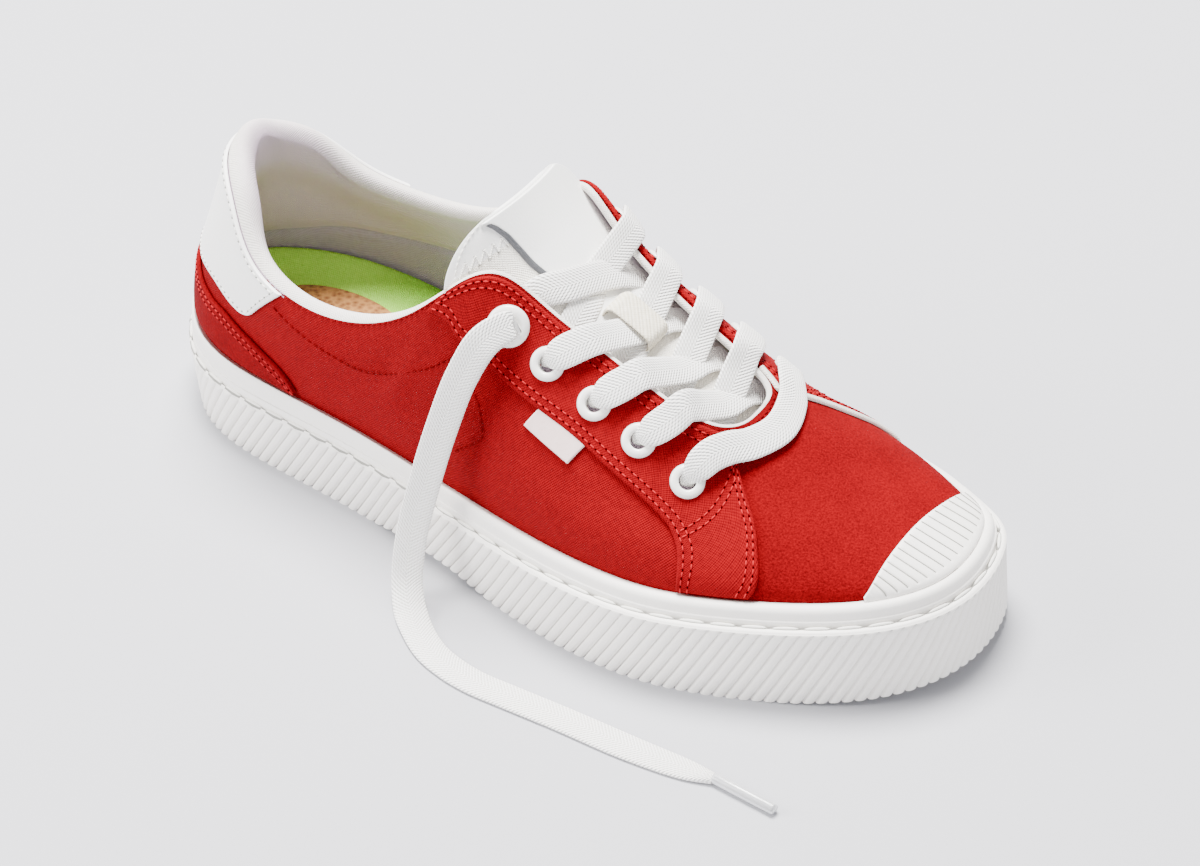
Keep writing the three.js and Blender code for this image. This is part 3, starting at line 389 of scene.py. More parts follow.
def seat_out(along):
    """How far out of the outline the upper's foot stands in the cup."""
    return lip_out(along) * SIDEWALL_HEIGHT - SEAT_GAP - CLEARANCE


def seat_floor(along):
    return cup_floor(along) * SIDEWALL_HEIGHT + CLEARANCE


def make_upper_table():
    half = len(UPPER_ROWS) - 1

    def numbers(row, side, index):
        feather, along, lateral, medial, height, rise, lean, swell, drop, pad = row
        return (
            (feather if side < 0 else 2 - feather) - index / half,
            along * SOLE_LENGTH,
            side * (lateral if side < 0 else medial) * BALL_WIDTH,
            height * EDGE_HEIGHT,
            rise * EDGE_HEIGHT,
            lean * BALL_WIDTH,
            swell * BALL_WIDTH,
            drop * EDGE_HEIGHT,
            pad * COLLAR_PAD,
            side * lateral * BALL_WIDTH,
        )

    lateral = [numbers(r, -1, i) for i, r in enumerate(UPPER_ROWS)]
    medial = [numbers(r, 1, 2 * half - i) for i, r in enumerate(UPPER_ROWS)]
    curve = closed_spline(lateral + medial[1:-1][::-1])
    return lambda station: curve(np.asarray(station, float) * half)


upper_table = make_upper_table()


def upper_face(station, up):
    station, up = np.broadcast_arrays(np.asarray(station, float), np.asarray(up, float))
    t = upper_table(station)
    turn = t[..., 0] + station
    p, out = outline.at(turn)
    along = p[..., 0] / SOLE_LENGTH
    foot = p + out * seat_out(along)[..., None]
    level = lip_top(along) * SIDEWALL_HEIGHT
    start = np.concatenate([foot, level[..., None]], -1)
    first = start.copy()
    first[..., :2] += out * t[..., 5:6]
    first[..., 2] += t[..., 4]
    end = t[..., 1:4]
    second = end.copy()
    second[..., 1] = t[..., 9]
    second[..., :2] += out * t[..., 6:7]
    second[..., 2] -= t[..., 7]
    u = up[..., None]
    g = 1 - u
    return g**3 * start + u**3 * end + 3 * g * g * u * first + 3 * g * u * u * second


def upper_normal(station, up):
    e = 0.001
    along = upper_face(np.add(station, e), up) - upper_face(np.subtract(station, e), up)
    rise = upper_face(station, np.minimum(np.add(up, e), 1)) - upper_face(
        station, np.maximum(np.subtract(up, e), 0)
    )
    return unit(np.cross(along, rise))


def upper_point(station, up, outward=0.0):
    lift = np.asarray(outward, float)[..., None]
    return upper_face(station, up) + upper_normal(station, up) * lift


def wall_thickness(station, up):
    pad = np.maximum(upper_table(station)[..., 8], UPPER_WALL)
    return mix(UPPER_WALL, pad, ease(0.4, 0.85, up))


def on_side(station, side):
    return station if side < 0 else 2 - station


def even_stations(count):
    """Stations, one more than count, whose feet are evenly spaced."""
    dense = np.linspace(-0.2, 2.2, 4001)
    turns = upper_table(dense)[:, 0] + dense
    return np.interp(np.linspace(0, 2, count + 1), turns, dense)


def crease(station, up):
    total = np.zeros(np.broadcast(station, up).shape)
    for s, u, run, rise, slant, depth in CREASES:
        shift = (station - s - slant * (up - u)) / run
        total -= depth * np.exp(-shift**2 - ((up - u) / rise) ** 2)
        total += 0.6 * depth * np.exp(-((shift - 1.3) ** 2) - ((up - u) / rise) ** 2)
    return total


tongue_curves = even_curves(TONGUE)

# The soft medial flank spreads and lifts a little against the lining
MEDIAL_SPREAD = 1.1
MEDIAL_DROOP = 0.88


def tongue_spine(s):
    return tongue_curves[0](s) * SOLE_LENGTH, tongue_curves[1](s) * EDGE_HEIGHT - UPPER_WALL


def tongue_point(s, t, depth=0.0):
    s, t = np.broadcast_arrays(np.asarray(s, float), np.asarray(t, float))
    x, z = tongue_spine(s)
    ax, az = tongue_spine(np.minimum(s + 0.01, 1))
    bx, bz = tongue_spine(np.maximum(s - 0.01, 0))
    run = np.hypot(ax - bx, az - bz)
    nx = (az - bz) / run
    nz = -(ax - bx) / run
    across = 1 - 2 * t
    _, _, half, bend, side, _ = tongue_curves
    droop = np.where(across > 0, MEDIAL_DROOP, 1)
    spread = np.where(across > 0, MEDIAL_SPREAD, 1)
    shift = -bend(s) * EDGE_HEIGHT * across**2 * droop + depth
    y = (side(s) + across * spread * half(s)) * BALL_WIDTH
    return np.stack([x + nx * shift, y, z + nz * shift], -1)


tongue_shares = np.linspace(1, 0, 400)
tongue_alongs = tongue_spine(tongue_shares)[0]


def tongue_below(x, y):
    """Point and normal of the tongue under a point seen from above."""
    aim = x
    _, _, half, _, side, _ = tongue_curves
    for _ in range(4):
        s = float(np.interp(aim, tongue_alongs, tongue_shares))
        across = float((y / BALL_WIDTH - side(s)) / half(s))
        t = (1 - across / (MEDIAL_SPREAD if across > 0 else 1)) / 2
        aim += x - tongue_point(s, t)[0]
    e = 0.01
    along = tongue_point(s + e, t) - tongue_point(s - e, t)
    across = tongue_point(s, t + e) - tongue_point(s, t - e)
    return tongue_point(s, t), unit(np.cross(along, across))


# Objects
def to_frame(points):
    return ((np.asarray(points) + SHIFT) * MM).tolist()


def put(name, data):
    """An object of the data, linked to the scene."""
    piece = bpy.data.objects.new(name, data)
    bpy.context.scene.collection.objects.link(piece)
    return piece


def smooth_faces(mesh):
    mesh.polygons.foreach_set("use_smooth", [True] * len(mesh.polygons))


def make_object(name, points, faces, uv):
    mesh = bpy.data.meshes.new(name)
    mesh.from_pydata(to_frame(points), [], faces)
    loops = np.zeros(len(mesh.loops), np.int32)
    mesh.loops.foreach_get("vertex_index", loops)
    layer = mesh.uv_layers.new(name="UVMap")
    layer.data.foreach_set("uv", np.asarray(uv, np.float32)[loops].ravel())
    smooth_faces(mesh)
    mesh.update()
    return put(name, mesh)


def grid_faces(rows, columns, offset, flip):
    i, j = np.meshgrid(np.arange(rows - 1), np.arange(columns - 1), indexing="ij")
    a = offset + i * columns + j
    quads = np.stack([a, a + columns, a + columns + 1, a + 1], -1).reshape(-1, 4)
    return (quads[:, ::-1] if flip else quads).tolist()


def lengths_along(points, axis):
    steps = np.linalg.norm(np.diff(points, axis=axis), axis=-1)
    total = np.cumsum(steps, axis=axis)
    pad = [(0, 0), (0, 0)]
    pad[axis] = (1, 0)
    return np.pad(total, pad)


def grid_uv(points):
    """Cloth coordinates in millimetres: along at the middle, across each row."""
    u = lengths_along(points, 0)[:, points.shape[1] // 2]
    v = lengths_along(points, 1)
    u = np.broadcast_to(u[:, None], v.shape)
    return np.stack([u, v], -1).reshape(-1, 2)


def grid_object(name, points, flip=False, uv=None):
    rows, columns = points.shape[:2]
    uv = grid_uv(points) if uv is None else uv
    return make_object(name, points.reshape(-1, 3), grid_faces(rows, columns, 0, flip), uv)


def seat_piece(piece, slot):
    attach(piece, "root")
    return piece


def finish_piece(piece, look, slot, replaces=""):
    piece.data.materials.append(look)
    seat_piece(piece, slot)
    if replaces:
        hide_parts(replaces)
    return piece


def add_looks(piece, looks, slots):
    """More looks, and the number of the look that each face takes."""
    for look in looks:
        piece.data.materials.append(look)
    piece.data.polygons.foreach_set("material_index", slots)


# Close steps over a plate's round rim, and the width that they take up
RIM_STEPS = np.array([0, 0.04, 0.14, 0.3, 0.55, 0.85, 1.0])
RIM_REACH = 1.2


def border_steps(length, spacing):
    """Shares along a length with close steps at both ends, for a round rim."""
    edge = RIM_STEPS * RIM_REACH / length
    inner = np.linspace(edge[-1], 1 - edge[-1], max(int(length / spacing), 2) + 1)
    return np.concatenate([edge[:-1], inner, (1 - edge[:-1])[::-1]])


def round_rim(s, t, lengths, rim):
    """0 at a border to 1 inside it, as a quarter circle."""
    near_s = np.minimum(s, 1 - s) * lengths[0]
    near_t = np.minimum(t, 1 - t) * lengths[1]
    near = np.clip(np.minimum(near_s, near_t) / rim, 0, 1)
    return np.sqrt(np.clip(1 - (1 - near) ** 2, 0, 1))


def soft_plate(name, place, low, high, spacing=1.6, rim=0.9, shape=None, flip=False):
    """A closed plate with rounded rims over place(s, t, height)."""
    probe = np.linspace(0, 1, 40)
    run = place(probe, 0.5 + 0 * probe, 0.0)
    wide = place(0.5 + 0 * probe, probe, 0.0)
    lengths = [path_lengths(line)[-1] for line in (run, wide)]
    s, t = np.meshgrid(
        border_steps(lengths[0], spacing), border_steps(lengths[1], spacing), indexing="ij"
    )
    round_off = round_rim(s, t, lengths, rim)
    top = mix(mix(low, high, 0.25), high, round_off)
    if shape is not None:
        top = top + shape(s, t) * round_off
    over = place(s, t, top)
    under = place(s, t, low + 0 * s)
    rows, columns = s.shape
    points = np.concatenate([over.reshape(-1, 3), under.reshape(-1, 3)])
    count = rows * columns
    faces = grid_faces(rows, columns, 0, flip) + grid_faces(rows, columns, count, not flip)
    loop = (
        [(i, 0) for i in range(rows)]
        + [(rows - 1, j) for j in range(1, columns)]
        + [(i, columns - 1) for i in range(rows - 2, -1, -1)]
        + [(0, j) for j in range(columns - 2, 0, -1)]
    )
    ids = [i * columns + j for i, j in loop]
    for a, b in zip(ids, ids[1:] + ids[:1]):
        side = (a, a + count, b + count, b)
        faces.append(side[::-1] if flip else side)
    uv = np.concatenate([grid_uv(over), grid_uv(over)])
    return make_object(name, points, faces, uv)


def smooth_path(stops, spacing):
    """Catmull-Rom line through rows of stops, with steps of about spacing."""
    stops = np.array(stops, float)
    gaps = np.linalg.norm(np.diff(stops[:, :3], axis=0), axis=1)
    places = np.concatenate([[0], np.cumsum(np.sqrt(np.maximum(gaps, 1e-6)))])
    tangents = np.gradient(stops, places, axis=0)
    count = max(int(gaps.sum() / spacing), 8)
    at = np.linspace(0, places[-1], count + 1)
    i = np.clip(np.searchsorted(places, at, side="right") - 1, 0, len(stops) - 2)
    h = (places[i + 1] - places[i])[:, None]
    t = (at - places[i])[:, None] / h
    a, b = stops[i], stops[i + 1]
    ta, tb = tangents[i] * h, tangents[i + 1] * h
    curve = (2 * t**3 - 3 * t**2 + 1) * a + (t**3 - 2 * t**2 + t) * ta
    return curve + (3 * t**2 - 2 * t**3) * b + (t**3 - t**2) * tb


# A flat cord spreads a little under its own pull
LACE_SPREAD = 1.08


def ribbon(name, stops, spacing=0.8, around=20):
    """Flat cord. Each stop holds a point, its face's normal, width, thickness."""
    rows = smooth_path([np.concatenate([p, n, [w, h]]) for p, n, w, h in stops], spacing)
    middle, face = rows[:, :3], unit(rows[:, 3:6])
    way = unit(np.gradient(middle, axis=0))
    across = unit(np.cross(face, way))
    over = np.cross(way, across)
    angle = np.linspace(0, 2 * math.pi, around + 1)
    x = np.sign(np.cos(angle)) * np.abs(np.cos(angle)) ** 0.55
    z = np.sign(np.sin(angle)) * np.abs(np.sin(angle)) ** 0.8
    wide = rows[:, 6, None] / 2 * LACE_SPREAD * x
    high = rows[:, 7, None] / 2 * z
    points = (
        middle[:, None]
        + across[:, None] * wide[..., None]
        + over[:, None] * high[..., None]
    )
    u = path_lengths(middle)
    # Across the cord the weave's coordinate runs over its nominal width
    v = np.broadcast_to(x * LACE_WIDTH / 2, wide.shape)
    uv = np.stack([np.broadcast_to(u[:, None], v.shape), v], -1).reshape(-1, 2)
    return grid_object(name, points, uv=uv), middle


# Looks
def srgb(code):
    values = [int(code[i:i + 2], 16) / 255 for i in (1, 3, 5)]
    linear = [v / 12.92 if v <= 0.04045 else ((v + 0.055) / 1.055) ** 2.4 for v in values]
    return (*linear, 1.0)


def add(nodes, kind, inputs=None, **settings):
    """Adds a node; inputs maps a socket's name or number to a value or socket."""
    tree = nodes.id_data
    node = nodes.new(kind)
    for key, value in settings.items():
        setattr(node, key, value)
    for key, value in (inputs or {}).items():
        socket = node.inputs[key]
        if isinstance(value, bpy.types.NodeSocket):
            tree.links.new(value, socket)
        else:
            socket.default_value = value
    return node


def maths(nodes, operation, *values):
    return add(nodes, "ShaderNodeMath", dict(enumerate(values)), operation=operation).outputs[0]


def centred(nodes, noise, strength):
    """Noise about nought, as strong as asked."""
    return maths(nodes, "MULTIPLY", maths(nodes, "SUBTRACT", noise, 0.5), strength)


def new_look(name, roughness, **shader):
    look = bpy.data.materials.new(name)
    look.use_nodes = True
    nodes = look.node_tree.nodes
    principled = nodes["Principled BSDF"]
    principled.inputs["Roughness"].default_value = roughness
    for key, value in shader.items():
        principled.inputs[key.replace("_", " ")].default_value = value
    return look, nodes


def finish_look(look, height, dark, light, depth, relief=None):
    """Colour from dark in the low places to light on the high ones, and relief."""
    nodes = look.node_tree.nodes
    principled = nodes["Principled BSDF"]
    ramp = add(nodes, "ShaderNodeMix", {0: height, 6: srgb(dark), 7: srgb(light)}, data_type="RGBA")
    look.node_tree.links.new(ramp.outputs[2], principled.inputs["Base Color"])
    given = {"Height": relief or height, "Distance": depth * MM, "Strength": 1.0}
    bump = add(nodes, "ShaderNodeBump", given)
    look.node_tree.links.new(bump.outputs[0], principled.inputs["Normal"])
    return look


def cloth_coordinates(nodes):
    uv = add(nodes, "ShaderNodeTexCoord").outputs["UV"]
    parts = add(nodes, "ShaderNodeSeparateXYZ", {0: uv})
    return parts.outputs[0], parts.outputs[1]


def wave(nodes, value, pitch):
    return maths(nodes, "SINE", maths(nodes, "MULTIPLY", value, 2 * math.pi / pitch))


def grain(nodes, scale, detail=3.0):
    where = add(nodes, "ShaderNodeTexCoord").outputs["Object"]
    noise = add(nodes, "ShaderNodeTexNoise", {"Vector": where, "Scale": scale, "Detail": detail})
    return noise.outputs["Fac"]


def woven(name, dark, light, pitch, depth, twill=0.0):
    """Plain or twill cloth from its own coordinates in millimetres."""
    look, nodes = new_look(name, 0.85, Specular_IOR_Level=0.07)
    u, v = cloth_coordinates(nodes)
    checks = maths(nodes, "MULTIPLY", wave(nodes, u, pitch), wave(nodes, v, pitch))
    plain = maths(nodes, "MULTIPLY", checks, 1 - twill)
    slanted = wave(nodes, maths(nodes, "ADD", u, v), pitch * 1.4)
    both = maths(nodes, "ADD", plain, maths(nodes, "MULTIPLY", slanted, twill))
    threads = maths(nodes, "MULTIPLY_ADD", both, 0.42, 0.5)
    height = maths(nodes, "ADD", threads, centred(nodes, grain(nodes, 700), 0.8))
    return finish_look(look, height, dark, light, depth)


def napped(name, dark, light):
    """Suede: fine nap over slow patches."""
    look, nodes = new_look(name, 0.95, Specular_IOR_Level=0.06)
    fine = grain(nodes, 1500, 5.0)
    patches = centred(nodes, grain(nodes, 60, 2.0), 0.8)
    height = maths(nodes, "ADD", maths(nodes, "ADD", centred(nodes, fine, 2.4), patches), 0.5)
    return finish_look(look, height, dark, light, 0.3, fine)


def smooth_look(name, dark, light, roughness, scale, depth, **shader):
    """Rubber, leather or enamel: a faint grain over an even colour."""
    look, nodes = new_look(name, roughness, **shader)
    height = grain(nodes, scale)
    return finish_look(look, height, dark, light, depth)


def herringbone(name, dark, light):
    """Lace: slanted threads that change hands down the middle of the cord."""
    look, nodes = new_look(name, 0.85, Specular_IOR_Level=0.2)
    u, v = cloth_coordinates(nodes)
    folded = maths(nodes, "ABSOLUTE", v)
    slanted = maths(nodes, "MULTIPLY", wave(nodes, maths(nodes, "ADD", folded, u), 1.25), 0.4)
    across = maths(nodes, "MULTIPLY", wave(nodes, v, 0.8), 0.15)
    height = maths(nodes, "ADD", slanted, across)
    return finish_look(look, maths(nodes, "ADD", height, 0.6), dark, light, 0.3, height)


def shaded(look, axis, first, last, tint, most):
    """Paints shade into a cloth along one of its coordinates, from first to last millimetre, as a blend
    towards a darker tint.
    """
    nodes = look.node_tree.nodes
    base = nodes["Principled BSDF"].inputs["Base Color"]
    given = {"Value": cloth_coordinates(nodes)[axis], "From Min": first, "From Max": last, "To Max": most}
    share = add(nodes, "ShaderNodeMapRange", given).outputs[0]
    colour = base.links[0].from_socket
    tinted = add(nodes, "ShaderNodeMix", {0: share, 6: colour, 7: srgb(tint)}, data_type="RGBA")
    look.node_tree.links.new(tinted.outputs[2], base)


def corked(name):
    """Pressed cork: pale crumbs with dark flecks."""
    look, nodes = new_look(name, 0.85)
    where = add(nodes, "ShaderNodeTexCoord").outputs["Object"]
    cells = add(nodes, "ShaderNodeTexVoronoi", {"Vector": where, "Scale": 560.0})
    flecks = maths(nodes, "MULTIPLY", cells.outputs["Distance"], 1.3)
    return finish_look(look, flecks, "#74401a", "#b98046", 0.4)


# Plain red canvas of the quarters
red_canvas = woven("red canvas", "#5c0006", "#90000b", 0.95, 0.25)
# Red canvas of the eyestay, cut on the other grain
stay_canvas = woven("eyestay canvas", "#5c0006", "#90000b", 0.95, 0.2, twill=0.3)
# Red suede of the vamp and the heel counter
red_suede = napped("red suede", "#580004", "#7c0009")
# Off-white ribbed rubber of the cup sole
white_rubber = smooth_look("white rubber", "#f4f0eb", "#faf6f1", 0.55, 700.0, 0.03)
# Smooth white leather of the heel tab and the tongue's patch
white_leather = smooth_look("white leather", "#f3f2ef", "#fbfaf8", 0.45, 1400.0, 0.06)
# Off-white knit over foam at the collar and inside
lining_cloth = woven("lining", "#d6d0ca", "#eeeae4", 0.9, 0.2)
# Painted shade: from 2.5 to 12 mm along the cloth's second coordinate, down from the collar's edge into
# the shoe, the knit darkens to a pinkish grey for the shade inside, its pink cast offsetting the green
# light bounced from the insole
shaded(lining_cloth, 1, 2.5, 12.0, "#c8b1c4", 0.9)
# Grey textile of the lining's lower part
grey_lining = woven("grey lining", "#a092a2", "#b6a8b8", 0.9, 0.12)
# Cream canvas of the tongue
cream_canvas = woven("cream canvas", "#f6f0e4", "#fffcf4", 0.9, 0.25)
# Green textile of the insole
green_cloth = woven("green cloth", "#a4e84c", "#caff70", 0.9, 0.25)
# Painted shade: the green is bright at the heel end, where the collar shades it, and darkens from 45 mm
# on, fully from 85 mm towards the toe, where light falls in through the shoe's mouth
shaded(green_cloth, 0, 45.0, 85.0, "#559a14", 0.9)
# Pressed cork patch of the insole's heel
cork = corked("cork")
# Flat cotton lace
lace_cotton = herringbone("lace cotton", "#d8d4ce", "#fffefc")
# White enamel on the metal eyelets
enamel = smooth_look("enamel", "#f0eee9", "#f6f4f0", 0.28, 300.0, 0.01, Coat_Weight=0.3)
# Cream webbing of the lace keeper
webbing = woven("webbing", "#d3c9b0", "#f1eada", 1.1, 0.25, twill=0.6)
# Pale pink woven cloth of the side label
label_cloth = woven("label cloth", "#e6c9c5", "#f7dfdb", 0.45, 0.06)
# Raw dark grey edge of the tongue's patch
raw_edge = smooth_look("raw edge", "#55565a", "#6b6c70", 0.9, 1500.0, 0.1)
# Clear grey shrunk tube on the lace's tip
clear_tip = smooth_look("clear tip", "#b9b9bc", "#d4d4d6", 0.22, 200.0, 0.01, Transmission_Weight=0.35)
# Threads: pinkish red on red, and white
thread_red = smooth_look("red thread", "#a81018", "#b6202a", 0.8, 2000.0, 0.02, Specular_IOR_Level=0.1)
thread_white = smooth_look("white thread", "#e6e3dc", "#f4f2ec", 0.6, 2000.0, 0.02)
# Deep red thread of the quiet seams on the quarters
thread_deep = smooth_look("deep thread", "#580004", "#640005", 0.9, 2000.0, 0.02, Specular_IOR_Level=0.05)
# Painted shade in the holes the needle made, in the sole's stitch beds and in the toe cap's grooves: grey
# in white pieces and dark red in red ones
painted_shade = smooth_look("painted shade", "#8a8983", "#96958f", 0.9, 500.0, 0.0, Specular_IOR_Level=0.0)
painted_red_shade = smooth_look("red painted shade", "#1e0001", "#280002", 0.9, 500.0, 0.0, Specular_IOR_Level=0.0)


# Rows of stitches by geometry nodes
def stitch_group():
    group = bpy.data.node_groups.new("Stitches", "GeometryNodeTree")
    sockets = group.interface
    sockets.new_socket("Geometry", in_out="INPUT", socket_type="NodeSocketGeometry")
    for name in ("Pitch", "Length", "Radius"):
        sockets.new_socket(name, in_out="INPUT", socket_type="NodeSocketFloat")
    sockets.new_socket("Material", in_out="INPUT", socket_type="NodeSocketMaterial")
    sockets.new_socket("Geometry", in_out="OUTPUT", socket_type="NodeSocketGeometry")
    nodes = group.nodes
    given = add(nodes, "NodeGroupInput").outputs
    line = add(nodes, "GeometryNodeMeshToCurve", {0: given["Geometry"]})
    spaced = {"Curve": line.outputs[0], "Length": given["Pitch"]}
    beads = add(nodes, "GeometryNodeResampleCurve", spaced, mode="LENGTH")
    tangent = add(nodes, "GeometryNodeInputTangent").outputs[0]
    turn = add(nodes, "FunctionNodeAlignRotationToVector", {"Vector": tangent}, axis="X")
    ball = add(nodes, "GeometryNodeMeshUVSphere", {"Segments": 8, "Rings": 6, "Radius": 0.5})
    size = add(
        nodes, "ShaderNodeCombineXYZ", {0: given["Length"], 1: given["Radius"], 2: given["Radius"]}
    )
    sources = {"Points": beads, "Instance": ball, "Rotation": turn, "Scale": size}
    inputs = {name: node.outputs[0] for name, node in sources.items()}
    placed = add(nodes, "GeometryNodeInstanceOnPoints", inputs)
    real = add(nodes, "GeometryNodeRealizeInstances", {0: placed.outputs[0]})
    inputs = {"Geometry": real.outputs[0], "Material": given["Material"]}
    dyed = add(nodes, "GeometryNodeSetMaterial", inputs)
    add(nodes, "NodeGroupOutput", {0: dyed.outputs[0]})
    return group


stitches = stitch_group()

# Millimetres from one short stitch to the next
STITCH_PITCH = 2.6


def trimmed(line, cut):
    """The same line, shorter by a cut at both ends."""
    lengths = path_lengths(line)
    at = np.linspace(cut, lengths[-1] - cut, len(line))
    return np.stack([np.interp(at, lengths, line[:, k]) for k in range(3)], -1)


def sew_with_holes(name, lines, look, slot, hole_shade_look, hole, length, thread):
    """Stitches with a dark dot of painted shade in each gap, where the needle went through."""
    sew(name, lines, look, slot, STITCH_PITCH, length, thread)
    gaps = [trimmed(line, STITCH_PITCH / 2) for line in lines]
    sew(name + "_holes", gaps, hole_shade_look, slot, STITCH_PITCH, hole, hole * 0.75)


def sew(name, lines, look, slot, pitch, length, thread):
    """Stitches along lines of points, made plain mesh."""
    edges = []
    start = 0
    for line in lines:
        edges += [(k, k + 1) for k in range(start, start + len(line) - 1)]
        start += len(line)
    mesh = bpy.data.meshes.new(name + " lines")
    mesh.from_pydata(to_frame(np.concatenate(lines)), edges, [])
    piece = put(name, mesh)
    modifier = piece.modifiers.new("Stitches", "NODES")
    modifier.node_group = stitches
    values = {"Pitch": pitch * MM, "Length": length * MM, "Radius": thread * MM, "Material": look}
    for item in stitches.interface.items_tree:
        if item.in_out == "INPUT" and item.name in values:
            modifier[item.identifier] = values[item.name]
    bpy.context.view_layer.update()
    shown = piece.evaluated_get(bpy.context.evaluated_depsgraph_get())
    piece.data = bpy.data.meshes.new_from_object(shown)
    piece.modifiers.clear()
    smooth_faces(piece.data)
    seat_piece(piece, slot)


# Cup sole
RIB_COLUMNS = 10
RIB_SWELL = 3
RIB_GROOVE = 0.8
# Drop of the lip where it touches the upper
LIP_ROLL = 0.5


def sole_wall():
    ribs = round(outline.length / RIB_PITCH)
    turns = np.linspace(0, 2, ribs * RIB_COLUMNS + 1)
    slant = RIB_SLANT / outline.lateral_length
    phase = np.linspace(0, ribs, len(turns)) % 1
    # Round ridges with a sharp groove between them
    groove = np.clip(1 - np.minimum(phase, 1 - phase) * RIB_COLUMNS, 0, 1)
    swell = np.abs(2 * phase - 1) ** RIB_SWELL
    relief = -RIB_DEPTH * (swell + RIB_GROOVE * groove)
    rows = []
    for share in np.linspace(0, 1, 14):
        turn = turns + slant * share
        along = outline.along(turn)
        fade = min(1, 9 * (1 - share))
        out = rib_out(along) * SIDEWALL_HEIGHT * share + relief * fade
        height = mix(ground_height(along), rib_top(along) * SIDEWALL_HEIGHT, share)
        rows.append(outline.beside(turn, out, height))
    turn = turns + slant
    along = outline.along(turn)
    for inward, up in BAND_SECTION:
        out = mix(rib_out(along), lip_out(along), inward) * SIDEWALL_HEIGHT
        height = mix(rib_top(along), lip_top(along), up) * SIDEWALL_HEIGHT
        rows.append(outline.beside(turn, out, height))
    inner = lip_out(along) * SIDEWALL_HEIGHT - SEAT_GAP - CLEARANCE * 0.6
    top = lip_top(along) * SIDEWALL_HEIGHT
    rows.append(outline.beside(turn, inner, top - LIP_ROLL))
    rows.append(outline.beside(turn, inner, cup_floor(along) * SIDEWALL_HEIGHT))
    return grid_object("sole_wall", np.stack(rows, 1))


# Grooves under the heel and under the ball: first, last and count
TREAD_GROUPS = [(0.06, 0.3, 6), (0.55, 0.8, 7)]
TREAD_MARGIN = BALL_WIDTH * 0.09


def half_widths(along):
    """Lateral and medial reach of the tread from the middle line."""
    alongs, lateral, medial = zip(*OUTLINE)
    return (np.interp(along, alongs, side) * BALL_WIDTH for side in (lateral, medial))


def spine(points):
    """Middle line under points of a loop, drawn in from heel and toe."""
    x = np.clip(points[:, 0], 28, SOLE_LENGTH - 34)
    lateral, medial = half_widths(x / SOLE_LENGTH)
    return np.stack([x, (medial - lateral) / 2], -1)


def tread_height(x, y):
    """Ground height with grooves, shallow chevrons, cut between the lugs."""
    height = ground_height(np.clip(x / SOLE_LENGTH, 0, 1))
    for first, last, count in TREAD_GROUPS:
        for place in np.linspace(first, last, count):
            lateral, medial = half_widths(place)
            left = TREAD_MARGIN - lateral
            right = medial - TREAD_MARGIN
            side = np.abs(2 * (y - left) / (right - left) - 1)
            start = place * SOLE_LENGTH + TREAD_GROOVE_WIDTH * (1 - side)
            inside = (x > start) & (x < start + TREAD_GROOVE_WIDTH) & (side < 1)
            height = np.where(inside, np.maximum(height, TREAD_GROOVE_DEPTH), height)
    return height


def tread():
    """The underside, from the wall's foot in to the middle line."""
    rim = outline.beside(np.linspace(0, 2, 801), -RIB_DEPTH * 1.15, 0.0)
    middle = spine(rim)
    xy = np.stack([mix(rim[:, :2], middle, share) for share in np.linspace(0, 1, 40)], 1)
    z = tread_height(xy[..., 0], xy[..., 1])
    return grid_object("tread", np.concatenate([xy, z[..., None]], -1), flip=True)


def insole_top(x):
    along = np.clip(x / SOLE_LENGTH, 0, 1)
    thick = mix(INSOLE_HEEL, INSOLE_FOREFOOT, ease(0.2, 0.6, along))
    return seat_floor(along) + thick


def insole():
    turns = np.linspace(0, 2, 401)
    p, _ = outline.at(turns)
    along = p[:, 0] / SOLE_LENGTH
    cup = INSOLE_CUP * (1 - ease(0.25, 0.5, along))
    edge = seat_out(along) - 2 * CLEARANCE - UPPER_WALL
    rows = [outline.beside(turns, edge, seat_floor(along))]
    for inset in np.linspace(0.6, INSOLE_CUP * 4, 14):
        rise = (1 - ease(0.6, INSOLE_CUP * 4, inset)) ** 1.6
        ring = outline.beside(turns, edge - inset, 0.0)
        ring[:, 2] = insole_top(ring[:, 0]) + cup * rise
        rows.append(ring)
    rim = rows[-1]
    middle = spine(rim)
    for share in np.linspace(0, 1, 12)[1:]:
        xy = mix(rim[:, :2], middle, share)
        rows.append(np.concatenate([xy, insole_top(xy[:, 0])[:, None]], -1))
    points = np.stack(rows, 1)
    uv = points[..., :2].reshape(-1, 2)
    return grid_object("insole_cloth", points, uv=uv)


# Cork patch on the insole's heel: middle, half length and half width
CORK_MIDDLE = (52, 0.5)
CORK_HALF = (27, 17)


def oval(share, turns):
    x = CORK_MIDDLE[0] + CORK_HALF[0] * share * np.cos(turns)
    y = CORK_MIDDLE[1] + CORK_HALF[1] * share * np.sin(turns)
    return x, y


def cork_patch():
    angle = np.linspace(0, 2 * math.pi, 97)
    rows = []
    for share, lift in ((1.0, 0.05), (0.99, 0.4), (0.96, 0.55), (0.6, 0.6), (0.0, 0.6)):
        x, y = oval(share, angle)
        rows.append(np.stack([x, y, insole_top(x) + lift], -1))
    return grid_object("cork_patch", np.stack(rows, 1))


# Upper
VAMP_FROM = 0.87
ROLL_FROM = 0.975


